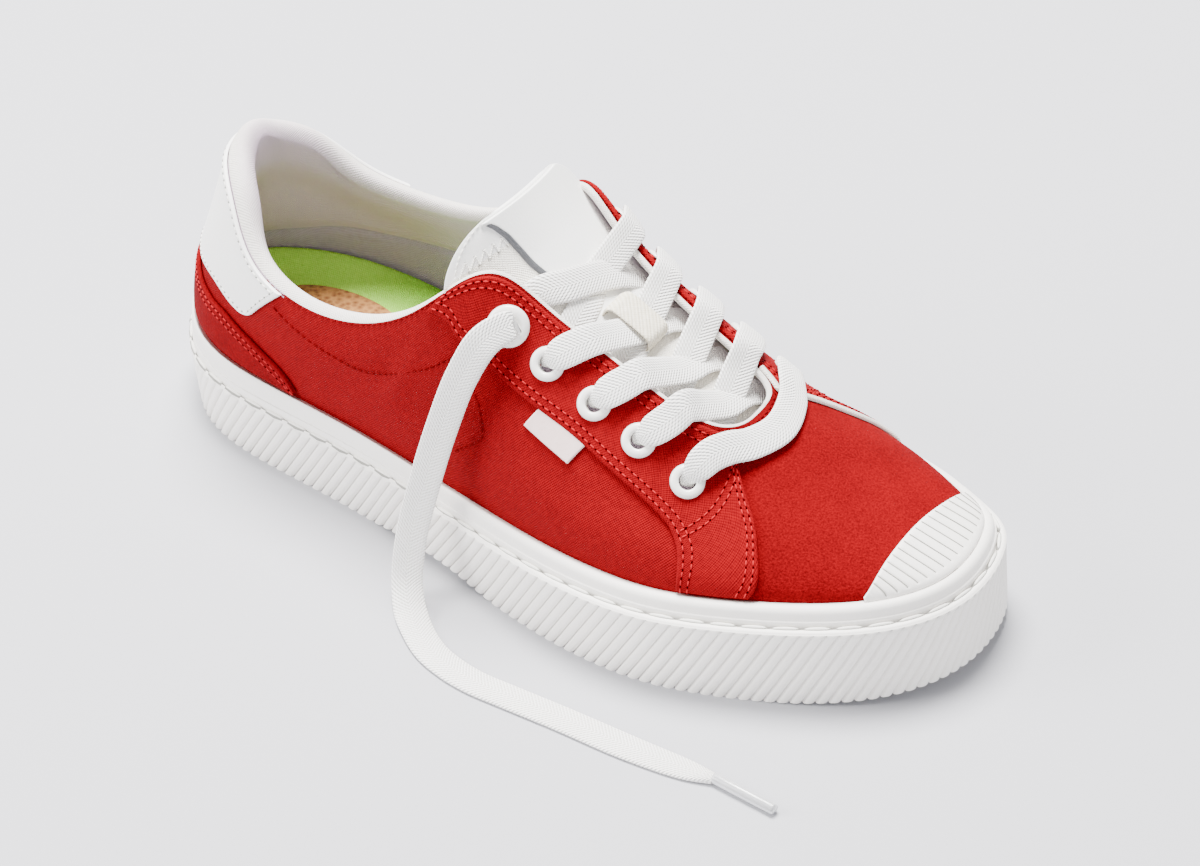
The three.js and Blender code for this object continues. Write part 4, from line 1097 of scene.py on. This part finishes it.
def upper_shell():
    stations = even_stations(460)
    ups = np.concatenate([[0], np.linspace(0.02, 1, 56)])
    s, u = np.meshgrid(stations, ups, indexing="ij")
    lift = crease(np.mod(s, 2), u) * ease(0.0, 0.12, u) * (1 - ease(0.85, 0.97, u))
    points = upper_point(s, u, lift)
    turn = upper_table(stations)[:, 0] + stations
    along = outline.along(turn)
    foot = outline.beside(turn, seat_out(along), seat_floor(along))
    points = np.concatenate([foot[:, None], points], 1)
    piece = finish_piece(grid_object("upper_cloth", points), red_canvas, "red_canvas", "upper")
    middle = (stations[:-1] + stations[1:]) / 2
    vamp = (middle > VAMP_FROM) & (middle < 2 - VAMP_FROM)
    slots = np.tile(vamp.astype(np.int32)[:, None], len(ups))
    # The collar's roll shows above the heel tab
    behind = np.minimum(middle, 2 - middle) < HEEL_TAB[-1][2]
    slots[np.ix_(behind, ups > ROLL_FROM)] = 2
    add_looks(piece, [red_suede, lining_cloth], slots.ravel())
    for side in (-1, 1):
        eyelet_holes(piece, side)


# Seam between the padded knit and the grey lining under it: station and up
LINING_SEAM = [(0.0, 0.14), (0.1, 0.17), (0.2, 0.3), (0.32, 0.43), (1.0, 0.44)]
LINING_CREASE = 1
lining_seam = table_curve(*zip(*LINING_SEAM))


def collar_lining():
    """Padded roll over the edge and the inside down to the insole."""
    stations = even_stations(360)
    edge = upper_point(stations, 1.0 + 0 * stations)
    below = upper_point(stations, 0.96 + 0 * stations)
    rise = unit(edge - below)
    thick = wall_thickness(stations, 1.0)
    rows = []
    for share in (1 - np.cos(np.linspace(0, math.pi, 15))) / 2:
        lift = (thick * 0.52 - 0.2) * np.sin(math.pi * share) ** 0.75
        point = upper_point(stations, 1.0 + 0 * stations, -thick * share)
        rows.append(point + rise * lift[:, None])
    seam = lining_seam(np.minimum(np.mod(stations, 2), 2 - np.mod(stations, 2)))
    levels = [mix(0.97, seam, share) for share in np.linspace(0, 1, 32)]
    lower = len(rows) + len(levels) - 1
    levels += [mix(seam, 0, share) for share in np.linspace(0, 1, 20)[1:]]
    for level in levels:
        crease_here = LINING_CREASE * np.exp(-(((level - seam) / 0.03) ** 2))
        depth = wall_thickness(stations, level) - crease_here
        rows.append(upper_point(stations, level, -depth))
    turn = upper_table(stations)[:, 0] + stations
    along = outline.along(turn)
    rows.append(outline.beside(turn, seat_out(along) - UPPER_WALL, seat_floor(along)))
    points = np.stack(rows, 1)
    piece = finish_piece(grid_object("collar_lining", points), lining_cloth, "red_canvas")
    column = np.arange(points.shape[1] - 1) >= lower
    add_looks(piece, [grey_lining], np.tile(column.astype(np.int32), points.shape[0] - 1))


# Overlays
STAY_TOP = CLEARANCE + OVERLAY_THICKNESS


# Share of an overlay's half length at which its corner starts to round
CORNER_FROM = 0.9


def mirrored(table, corner=0.0):
    """Place function of an overlay round the heel, with its lower corners cut."""
    curves = even_curves(table)

    def place(s, t, height):
        reach = 2 * s - 1
        share = np.abs(reach)
        side = np.where(reach < 0, -1, 1)
        past = np.clip((share - CORNER_FROM) / (1 - CORNER_FROM), 0, 1)
        t = mix(corner * (1 - np.sqrt(1 - past**2)), 1, t)
        station = side * mix(curves[0](share), curves[2](share), t)
        return upper_point(station, mix(curves[1](share), curves[3](share), t), height)

    return place


def one_sided(table, side):
    curves = even_curves(table)

    def place(s, t, height):
        station = mix(curves[0](s), curves[2](s), t)
        up = mix(curves[1](s), curves[3](s), t)
        return upper_point(on_side(station, side), up, height)

    return place


def toe_cap_place(s, t, height):
    sweep = math.radians(TOE_CAP_SWEEP)
    angle = mix(-sweep, sweep, s)
    station = 1 + TOE_CAP_HALF * np.sin(angle)
    top = TOE_CAP_UP * np.cos(angle) ** TOE_CAP_TAPER
    return upper_point(station, mix(-0.06, top, t), height)


def toe_cap_grooves(s, t):
    """Fine grooves that stop short of a smooth rim."""
    station = np.sin(math.radians(TOE_CAP_SWEEP) * (2 * s - 1))
    ridge = np.abs(np.sin(math.pi * TOE_CAP_GROOVES / 2 * station))
    inside = ease(0.06, 0.14, s) * ease(0.06, 0.14, 1 - s) * ease(0.3, 0.4, t)
    return -TOE_GROOVE_DEPTH * (1 - ridge) ** 3 * inside


heel_tab_place = mirrored(HEEL_TAB, 0.16)
counter_place = mirrored(HEEL_COUNTER)
stay_places = {side: one_sided(EYESTAY, side) for side in (-1, 1)}


def inset_line(place, first, last, distance, from_end, height, steps=160):
    """Points along an overlay at a distance in from one of its borders."""
    s = np.linspace(first, last, steps)
    cross = np.linspace(0, 1, 12)
    widths = place(s[:, None] + 0 * cross, cross + 0 * s[:, None], 0.0)
    width = np.linalg.norm(np.diff(widths, axis=1), axis=-1).sum(1)
    t = np.clip(distance / np.maximum(width, 1e-3), 0, 0.5)
    return place(s, 1 - t if from_end else t, height + 0 * s)


def cross_line(place, s, first, last, height):
    t = np.linspace(first, last, 40)
    return place(s + 0 * t, t, height + 0 * t)


def overlay(name, place, look, slot, node, **more):
    plate = soft_plate(name, place, CLEARANCE, STAY_TOP, **more)
    return finish_piece(plate, look, slot, node)


def eyelet_holes(piece, side):
    """Drops a cloth's faces over the eyelets' bores."""
    mesh = piece.data
    centres = [to_frame(upper_point(on_side(s, side), u, STAY_TOP)) for s, u in EYELETS]
    middles = np.zeros(len(mesh.polygons) * 3, np.float32)
    mesh.polygons.foreach_get("center", middles)
    middles = middles.reshape(-1, 3)
    keep = np.ones(len(mesh.polygons), bool)
    for centre in centres:
        keep &= np.linalg.norm(middles - centre, axis=1) > (EYELET_HOLE + 0.5) * MM
    gone = [i for i, stays in enumerate(keep) if not stays]
    work = bmesh.new()
    work.from_mesh(mesh)
    work.faces.ensure_lookup_table()
    bmesh.ops.delete(work, geom=[work.faces[i] for i in gone], context="FACES")
    work.to_mesh(mesh)
    work.free()


# Eyelet section: share of the way from the bore to the rim, and height
EYELET_SECTION = [
    (0.0, -4.0),
    (0.0, 0.6),
    (0.03, 1.05),
    (0.12, 1.32),
    (0.3, 1.5),
    (0.55, 1.5),
    (0.78, 1.3),
    (0.93, 0.85),
    (1.0, 0.3),
    (0.98, 0.0),
]


def turned(name, base, axis, across, section, steps):
    """A surface turned about an axis; the section holds radius and height."""
    across = unit(across)
    third = np.cross(unit(axis), across)
    angle = np.linspace(0, 2 * math.pi, steps + 1)
    ring = np.cos(angle)[:, None] * across + np.sin(angle)[:, None] * third
    rows = [base + axis * height + ring * radius for radius, height in section]
    return grid_object(name, np.stack(rows, 1), flip=True)


def eyelet(name, index, side, node):
    station, up = EYELETS[index]
    station = on_side(station, side)
    radius = TOP_EYELET_RADIUS if index == 0 else EYELET_RADIUS
    bore = EYELET_HOLE - CLEARANCE
    normal = upper_normal(station, up)
    centre = upper_point(station, up, STAY_TOP)
    section = [(mix(bore, radius, share), height) for share, height in EYELET_SECTION]
    piece = turned(name, centre, normal, np.cross(normal, UP), section, 56)
    finish_piece(piece, enamel, "eyelet_enamel", node)


# Tongue
# The soft top ends below the solid's, with its corners rounded from here on
TONGUE_TOP = 0.878
TONGUE_SWELL = 0.36
CORNERS_FROM = 0.74
CORNERS_IN = 0.6
TOP_SPREAD = 0.13
LATERAL_SPREAD = 0.36
# Seam between the canvas and the leather at the top
TONGUE_SEAM = 0.87
# Lateral edge of the leather patch: share along, share across
PATCH_EDGE = [
    (0.5, 0.69),
    (0.66, 0.675),
    (0.78, 0.68),
    (0.87, 0.71),
    (0.93, 0.77),
    (0.965, 0.85),
    (0.985, 0.96),
]
PATCH_MEDIAL = 0.03
RAW_EDGE = 0.022


def soft_tongue(s, t, depth):
    corner = np.clip((s - CORNERS_FROM) / (1 - CORNERS_FROM), 0, 1)
    narrow = 1 - CORNERS_IN * (1 - np.sqrt(1 - corner**2))
    spread = np.where(t > 0.5, LATERAL_SPREAD, TOP_SPREAD)
    width = narrow * (1 + spread * ease(0.6, 0.8, s))
    return tongue_point(TONGUE_TOP * s, 0.5 + (t - 0.5) * width, depth)


def tongue_pad(s, t, height):
    across = np.abs(2 * t - 1)
    thick = tongue_curves[5](TONGUE_TOP * s) * TONGUE_THICKNESS * (1 - 0.75 * across**6)
    thick = thick * (1 - 0.75 * ease(0.72, 1, s))
    swell = ease(0.02, 0.3, 1 - across) * ease(0.3, 0.6, s) * (1 - ease(0.93, 1, s))
    return soft_tongue(s, t, mix(-thick, swell * TONGUE_SWELL, height))


patch_edge = table_curve(*zip(*PATCH_EDGE))


def tongue_patch_place(s, t, height):
    """White leather on the tongue's top, from a raw lateral edge to medial."""
    share = mix(PATCH_EDGE[0][0], 0.985, s)
    return soft_tongue(share, mix(PATCH_MEDIAL, patch_edge(share), t), height)


def raw_edge_place(s, t, height):
    share = mix(PATCH_EDGE[0][0], PATCH_EDGE[-2][0], s)
    return soft_tongue(share, patch_edge(share) + RAW_EDGE * (t - 0.3), height)


def second_look(piece, look, from_length):
    """Another look for the faces past a length along the piece."""
    mesh = piece.data
    uv = np.zeros(len(mesh.loops) * 2, np.float32)
    mesh.uv_layers[0].data.foreach_get("uv", uv)
    first = np.zeros(len(mesh.polygons), np.int32)
    mesh.polygons.foreach_get("loop_start", first)
    past = uv.reshape(-1, 2)[first, 0] > from_length
    add_looks(piece, [look], past.astype(np.int32))


# Folded edge of the medial eyestay
PIPING = 1.9

# Lace
LACE_LIFT = CLEARANCE + LACE_THICKNESS / 2
EYELET_TOP = EYELET_HEIGHT + 3 * CLEARANCE


# Foremost strip: station, up and lift in eyelet heights; its middle's up, lift
BAR_ROUTE = [(0.835, 0.8, 0.74), (0.85, 0.87, 0.95), (0.885, 0.915, 0.55), (0.94, 0.925, -0.15)]
BAR_MIDDLE = (0.928, -0.6)
# Lift, width and thickness of a lace gathered inside an eyelet
LACE_INSIDE = (-4.4, 4.2, 2.6)


def on_stay(side, station, up, lift, width=LACE_WIDTH, thickness=LACE_THICKNESS):
    at = on_side(station, side)
    height = STAY_TOP + lift + LACE_LIFT
    return (upper_point(at, up, height), upper_normal(at, up), width, thickness)


def off_stay(side, station, edge_station, up):
    """From inside an eyelet over its rim to just past the throat's edge."""

    def towards(share, rise, lift, *size):
        place = mix(station, edge_station, share)
        return on_stay(side, place, mix(up, 1, rise), EYELET_TOP * lift, *size)

    edge = towards(1.0, 1.0, 0.6)
    inner = towards(0.8, 0.8, 0.7)
    past = edge[0] + unit(edge[0] - inner[0]) * LACE_THICKNESS
    return [
        on_stay(side, station, up, *LACE_INSIDE),
        on_stay(side, station, mix(up, 1, 0.06), -1.2, 4.6, 2.4),
        towards(0.25, 0.26, 0.74, 8.4, 1.9),
        towards(0.54, 0.54, 0.9),
        inner,
        (past, edge[1], LACE_WIDTH, LACE_THICKNESS),
    ]


def on_tongue(x, y, lift):
    point, normal = tongue_below(x, y)
    return (point + normal * (lift + LACE_LIFT), normal, LACE_WIDTH, LACE_THICKNESS)


def rest_on_tongue(point, lift):
    below, normal = tongue_below(point[0], point[1])
    height = float(np.dot(point - below, normal))
    need = max(LACE_LIFT + lift - height, 0)
    return (point + normal * need, normal, LACE_WIDTH, LACE_THICKNESS)


def under_stay(side, station):
    edge = upper_point(on_side(station, side), 1.0)
    near = on_tongue(edge[0], edge[1] - side * LACE_WIDTH * 0.6, LACE_THICKNESS * 0.3)
    far = on_tongue(edge[0] + 1.5, edge[1] + side * 3.0, 0.0)
    return [near, far]


def lowest_bar():
    """Straight over the vamp between the two foremost eyelets."""
    station, up = EYELETS[-1]
    half = [[], []]
    for stops, side in zip(half, (-1, 1)):
        stops += off_stay(side, station, station, up)[:2]
        for i, (at, level, lift) in enumerate(BAR_ROUTE):
            width = LACE_WIDTH * (0.88 if i == 0 else 1)
            stops.append(on_stay(side, at, level, EYELET_TOP * lift, width))
    return half[0] + [on_stay(-1, 1.0, *BAR_MIDDLE)] + half[1][::-1]


# Way to the next eyelet at which a strip crosses the throat's edge
EDGE_SHARE = 0.48


def crossing(index):
    """Stops of the two strips that cross between two pairs of eyelets."""
    station, up = EYELETS[index]
    below = EYELETS[index + 1][0]
    edge_station = mix(station, below, EDGE_SHARE)
    hidden = mix(station, below, 0.88)
    starts = []
    for side in (-1, 1):
        if index == 0 and side < 0:
            starts.append(under_stay(side, station)[::-1])
        else:
            starts.append(off_stay(side, station, edge_station, up))
    ends = [under_stay(side, hidden) for side in (1, -1)]
    meet = (starts[0][-1][0] + starts[1][-1][0] + ends[0][0][0] + ends[1][0][0]) / 4
    strips = []
    for i, (start, end) in enumerate(zip(starts, ends)):
        height = CLEARANCE + (LACE_THICKNESS * 1.15 if i == 0 else 0)
        top = on_tongue(meet[0], meet[1], height)
        before = rest_on_tongue((start[-1][0] + top[0]) / 2, height)
        after = rest_on_tongue((top[0] + end[0][0]) / 2, height * 0.8 + CLEARANCE)
        strips.append(start + [before, top, after] + end)
    return strips


def loose_end():
    station, up = EYELETS[0]
    out = upper_normal(station, up)
    route = np.array(LACE_END, float)
    stops = [
        on_stay(-1, station, up, *LACE_INSIDE),
        on_stay(-1, station, up, -1.4, 4.8, 2.4),
    ]
    for i, p in enumerate(route):
        hang = ease(0, 1, np.linalg.norm(p - route[0]) / LACE_WIDTH / 2)
        lie = ease(LACE_LAY[0], LACE_LAY[1], -p[1])
        face = unit(mix(mix(out, np.array(LACE_HANG), hang), UP, lie))
        width = 8.0 if i == 0 else LACE_WIDTH
        stops.append((p, face, width, LACE_THICKNESS))
    last = stops[-1]
    stops[-1] = (last[0] + UP * 0.6, last[1], 3.4, 2.6)
    stops[-2] = (stops[-2][0] + UP * 0.1, stops[-2][1], 7.5, 1.7)
    return stops


# Aglet section: share of its length, and radius in aglet radii
AGLET_SECTION = [(0.0, 0.5), (0.0, 0.96), (0.02, 1.0), (0.97, 0.97), (0.995, 0.85), (1.0, 0.0)]


def aglet():
    start = np.array([*LACE_END[-1][:2], AGLET_RADIUS])
    way = np.array([*AGLET_TIP, AGLET_RADIUS]) - start
    section = [(radius * AGLET_RADIUS, share) for share, radius in AGLET_SECTION]
    return turned("lace_tip", start, way, np.cross(UP, way), section, 32)


# Keeper's rise from its foot to its middle: share of its reach and of its lift
KEEPER_RISE = [(-0.01, 0.5), (0.06, 0.85), (0.2, 0.95)]


def keeper():
    low, high = KEEPER_REACH
    foot = (CLEARANCE - LACE_THICKNESS) / 2
    half = [(0.0, foot)] + [(share, KEEPER_LIFT * rise) for share, rise in KEEPER_RISE]
    stops = half + [(0.5, KEEPER_LIFT * 0.98)] + [(1 - share, lift) for share, lift in half[::-1]]
    line = []
    for share, lift in stops:
        point, normal, _, _ = on_tongue(mix(low, high, share), KEEPER_SIDE, lift)
        line.append((point, normal, KEEPER_WIDTH, KEEPER_THICKNESS))
    return line


LABEL_THICKNESS = 0.8
label_place = one_sided(LABEL, -1)


def stay_piping():
    """White folded edge under the medial eyestay's front border."""
    stops = []
    for s in np.linspace(0.6, 0.97, 14):
        point = stay_places[1](s, 1.0, 0.8)
        inner = stay_places[1](s, 0.9, 0.8)
        normal = unit(point - stay_places[1](s, 1.0, 0.2))
        stops.append((point + unit(point - inner) * 0.6, normal, PIPING, PIPING * 0.85))
    return stops


# Camera, fitted to the photograph
CAMERA_AZIMUTH = 34.5
CAMERA_ELEVATION = 38.2
CAMERA_ROLL = -1.4
CAMERA_DISTANCE = 1400
CAMERA_LENS = 135.9
CAMERA_TARGET = (160.8, -8.6, 40)


def build_camera():
    a, e, roll = (math.radians(v) for v in (CAMERA_AZIMUTH, CAMERA_ELEVATION, CAMERA_ROLL))
    back = Vector((math.sin(a) * math.cos(e), -math.cos(a) * math.cos(e), math.sin(e)))
    right = Vector((math.cos(a), math.sin(a), 0))
    over = back.cross(right)
    right, over = (
        right * math.cos(roll) + over * math.sin(roll),
        over * math.cos(roll) - right * math.sin(roll),
    )
    data = bpy.data.cameras.new("camera")
    data.lens = CAMERA_LENS
    data.sensor_width = 36
    data.clip_end = 20
    camera = put("camera", data)
    turn = Matrix((right, over, back)).transposed()
    camera.matrix_world = turn.to_4x4()
    target = Vector((np.array(CAMERA_TARGET) + SHIFT) * MM)
    camera.location = target + back * CAMERA_DISTANCE * MM
    bpy.context.scene.camera = camera


def area_light(name, place, aim, size, power, colour):
    data = bpy.data.lights.new(name, "AREA")
    data.shape = "DISK"
    data.size = size
    data.energy = power
    data.color = srgb(colour)[:3]
    light = put(name, data)
    light.location = place
    way = Vector(aim) - Vector(place)
    light.rotation_euler = way.to_track_quat("-Z", "Y").to_euler()


# Metres from the middle of the paper to its edges
PAPER_HALF = 6.0

# Area lights: name, place, aim, size, power and colour
LIGHTS = [
    ("overhead", (-0.3, 0.35, 1.5), (0, 0, 0), 0.8, 128, "#fffefc"),
    ("left", (-1.2, -1.0, 0.9), (0, 0, 0.05), 0.9, 47, "#fffefc"),
    ("front", (1.0, -1.2, 0.6), (0, 0, 0.04), 0.8, 9, "#fafbff"),
]
SKY_COLOUR = "#f4f5f8"
SKY_STRENGTH = 0.93


def build_stage():
    corners = [(x * PAPER_HALF, y * PAPER_HALF, 0) for x, y in ((-1, -1), (1, -1), (1, 1), (-1, 1))]
    mesh = bpy.data.meshes.new("floor")
    mesh.from_pydata(corners, [], [(0, 1, 2, 3)])
    floor = put("floor", mesh)
    # Pale grey seamless paper
    look, _ = new_look("paper", 0.9, Base_Color=srgb("#b5b5ba"))
    mesh.materials.append(look)
    world = bpy.data.worlds.new("studio")
    world.use_nodes = True
    sky = world.node_tree.nodes["Background"]
    sky.inputs[0].default_value = srgb(SKY_COLOUR)
    sky.inputs[1].default_value = SKY_STRENGTH
    bpy.context.scene.world = world
    for light in LIGHTS:
        area_light(*light)


def build_overlays():
    overlay("heel_tab_leather", heel_tab_place, white_leather, "white_leather", "heel_tab")
    overlay("counter_suede", counter_place, red_suede, "red_suede", "heel_counter")
    fine = {"spacing": 0.3, "shape": toe_cap_grooves}
    overlay("toe_cap_rubber", toe_cap_place, white_rubber, "white_rubber", "toe_cap", **fine)
    for side, word in ((-1, "lateral"), (1, "medial")):
        name, node = f"eyestay_cloth_{word}", f"eyestay_{word}"
        coarse = {"spacing": 1.0, "flip": side > 0}
        stay = overlay(name, stay_places[side], stay_canvas, "red_canvas", node, **coarse)
        eyelet_holes(stay, side)
        for i in range(len(EYELETS)):
            eyelet(f"eyelet_ring_{word}_{i + 1}", i, side, f"eyelet_{word}_{i + 1}")
    piping, _ = ribbon("stay_piping", stay_piping(), around=12)
    finish_piece(piping, cream_canvas, "cream_canvas")


def build_tongue():
    pad = soft_plate("tongue_pad", tongue_pad, 0.0, 1.0, spacing=1.5, rim=1.6)
    finish_piece(pad, cream_canvas, "cream_canvas", "tongue")
    middle = soft_tongue(np.linspace(0, TONGUE_SEAM, 80), 0.5, 0.0)
    second_look(pad, white_leather, path_lengths(middle)[-1])
    edges = {"spacing": 1.5, "rim": 0.5}
    leather = (white_leather, "white_leather", "tongue_patch")
    overlay("tongue_leather", tongue_patch_place, *leather, **edges)
    edge = ("tongue_raw_edge", raw_edge_place, CLEARANCE, STAY_TOP * 0.95)
    finish_piece(soft_plate(*edge, spacing=0.5, rim=0.3), raw_edge, "white_leather")
    tag = ("label_cloth", label_place, CLEARANCE, CLEARANCE + LABEL_THICKNESS)
    finish_piece(soft_plate(*tag, spacing=1.0, rim=0.4), label_cloth, "label_cloth", "label")


def build_shoe():
    finish_piece(sole_wall(), white_rubber, "white_rubber", "sole")
    finish_piece(tread(), white_rubber, "white_rubber")
    finish_piece(insole(), green_cloth, "insole_cloth", "insole")
    finish_piece(cork_patch(), cork, "insole_cloth")
    upper_shell()
    collar_lining()
    build_overlays()
    build_tongue()


def build_lace():
    bar, _ = ribbon("lace_strip_bar", lowest_bar())
    finish_piece(bar, lace_cotton, "lace_cotton", "lace_bar")
    for index in range(len(EYELETS) - 1):
        for i, stops in enumerate(crossing(index)):
            strip, _ = ribbon(f"lace_strip_{index + 1}_{'ab'[i]}", stops)
            finish_piece(strip, lace_cotton, "lace_cotton", f"lace_crossing_{index + 1}")
    loop, _ = ribbon("keeper_loop", keeper(), spacing=0.5)
    finish_piece(loop, webbing, "webbing", "lace_keeper")
    tip = finish_piece(aglet(), clear_tip, "clear_tip", "aglet")
    end, middle = ribbon("lace_loose_end", loose_end())
    finish_piece(end, lace_cotton, "lace_cotton", "lace_end")
    path = (middle + SHIFT) * MM
    length = float(path_lengths(path)[-1])


# Rows of stitches: distances in from a border, and the stay's rows across it
STAY_ROWS = (1.8, 4.2)
STAY_CROSS_ROWS = (0.728, 0.75)
COUNTER_ROWS = (1.8, 4.0)
TAB_ROW = 1.6
ROW_HEIGHT = STAY_TOP + 0.05


def build_stitches():
    top = ROW_HEIGHT
    red = []
    for place in stay_places.values():
        for distance in STAY_ROWS:
            for far in (False, True):
                red.append(inset_line(place, 0.03, 0.985, distance, far, top))
        red += [cross_line(place, s, 0.1, 0.86, top) for s in STAY_CROSS_ROWS]
    looks = (thread_red, "red_canvas", painted_red_shade)
    sew_with_holes("stitches_eyestays", red, *looks, hole=0.7, length=1.8, thread=0.5)
    deep = []
    for side, table in ((-1, COLLAR_SEAM), (1, COLLAR_SEAM), (-1, BOX_SEAM)):
        seam = smooth_path([(s, u, 0) for s, u in table], 0.004)
        deep.append(upper_point(on_side(seam[:, 0], side), seam[:, 1], 0.15))
    sew("stitches_quarters", deep, thread_deep, "red_canvas", STITCH_PITCH, 2.1, 0.6)
    counter = [inset_line(counter_place, 0.01, 0.99, d, True, top, 260) for d in COUNTER_ROWS]
    looks = (thread_red, "red_suede", painted_red_shade)
    sew_with_holes("stitches_counter", counter, *looks, hole=0.6, length=1.8, thread=0.45)
    white = [inset_line(heel_tab_place, 0.02, 0.98, TAB_ROW, far, top, 240) for far in (False, True)]
    white += [cross_line(heel_tab_place, end, 0.1, 0.94, top) for end in (0.014, 0.986)]
    looks = (thread_white, "white_leather", painted_shade)
    sew_with_holes("stitches_tab", white, *looks, hole=0.8, length=1.7, thread=0.45)
    stations = np.linspace(*EDGE_STITCHED, 500)
    collar = [upper_point(stations, 0.985 + 0 * stations, 0.1)]
    sew("stitches_edge", collar, thread_deep, "red_canvas", 2.4, 1.7, 0.45)
    build_sole_stitches()
    build_tongue_stitches()
    build_toe_lines()


def build_sole_stitches():
    """Long stitches in the sole's groove, each over its shaded bed."""
    turns = np.linspace(0, 2, 900)
    along = outline.along(turns)
    middle = mix(rib_out(along), lip_out(along), 0.3) * SIDEWALL_HEIGHT
    level = mix(rib_top(along), lip_top(along), 0.125) * SIDEWALL_HEIGHT
    groove = outline.beside(turns, middle, level + 0.1)
    bed = outline.beside(turns, middle, level - 0.45)
    pitch = SOLE_STITCH
    sew("stitches_sole", [groove], thread_white, "white_rubber", pitch, pitch - 1.2, 1.15)
    sew("stitch_beds", [bed], painted_shade, "white_rubber", pitch, pitch + 1, 1.7)


def build_toe_lines():
    """Thin shaded lines in the toe cap's grooves."""
    sweep = math.radians(TOE_CAP_SWEEP)
    lines = []
    for k in range(-TOE_LINES, TOE_LINES + 1):
        share = (math.asin(2 * k / TOE_CAP_GROOVES) / sweep + 1) / 2
        lines.append(cross_line(toe_cap_place, share, 0.4, 0.97, STAY_TOP - 0.08))
    sew("toe_lines", lines, painted_shade, "white_rubber", 0.5, 0.9, 0.28)


def build_tongue_stitches():
    """Zigzag over the leather's seam, and a row along the tongue's edge."""
    teeth = 5
    t = np.linspace(0.73, 0.95, 2 * teeth + 1)
    rows = (TONGUE_SEAM - 0.012, TONGUE_SEAM + 0.022)
    s = np.resize(rows, len(t))
    zigzag = soft_tongue(s, t, 0.55)
    sew("stitches_tongue", [zigzag], thread_white, "white_leather", 0.8, 1.0, 0.5)
    for row, first in zip(rows, (0, 1)):
        holes = soft_tongue(row + 0 * t[first::2], t[first::2], 0.4)
        pitch = float(np.linalg.norm(holes[1] - holes[0]))
        sew(f"tongue_holes_{first}", [holes], painted_shade, "white_leather", pitch, 0.7, 0.5)
    s = np.linspace(0.7, 0.99, 80)
    edge = soft_tongue(s, 0.965, 0.3)
    sew("stitches_tongue_edge", [edge], thread_white, "white_leather", 2.2, 1.6, 0.45)


build_camera()
build_stage()
build_lace()
build_shoe()
build_stitches()
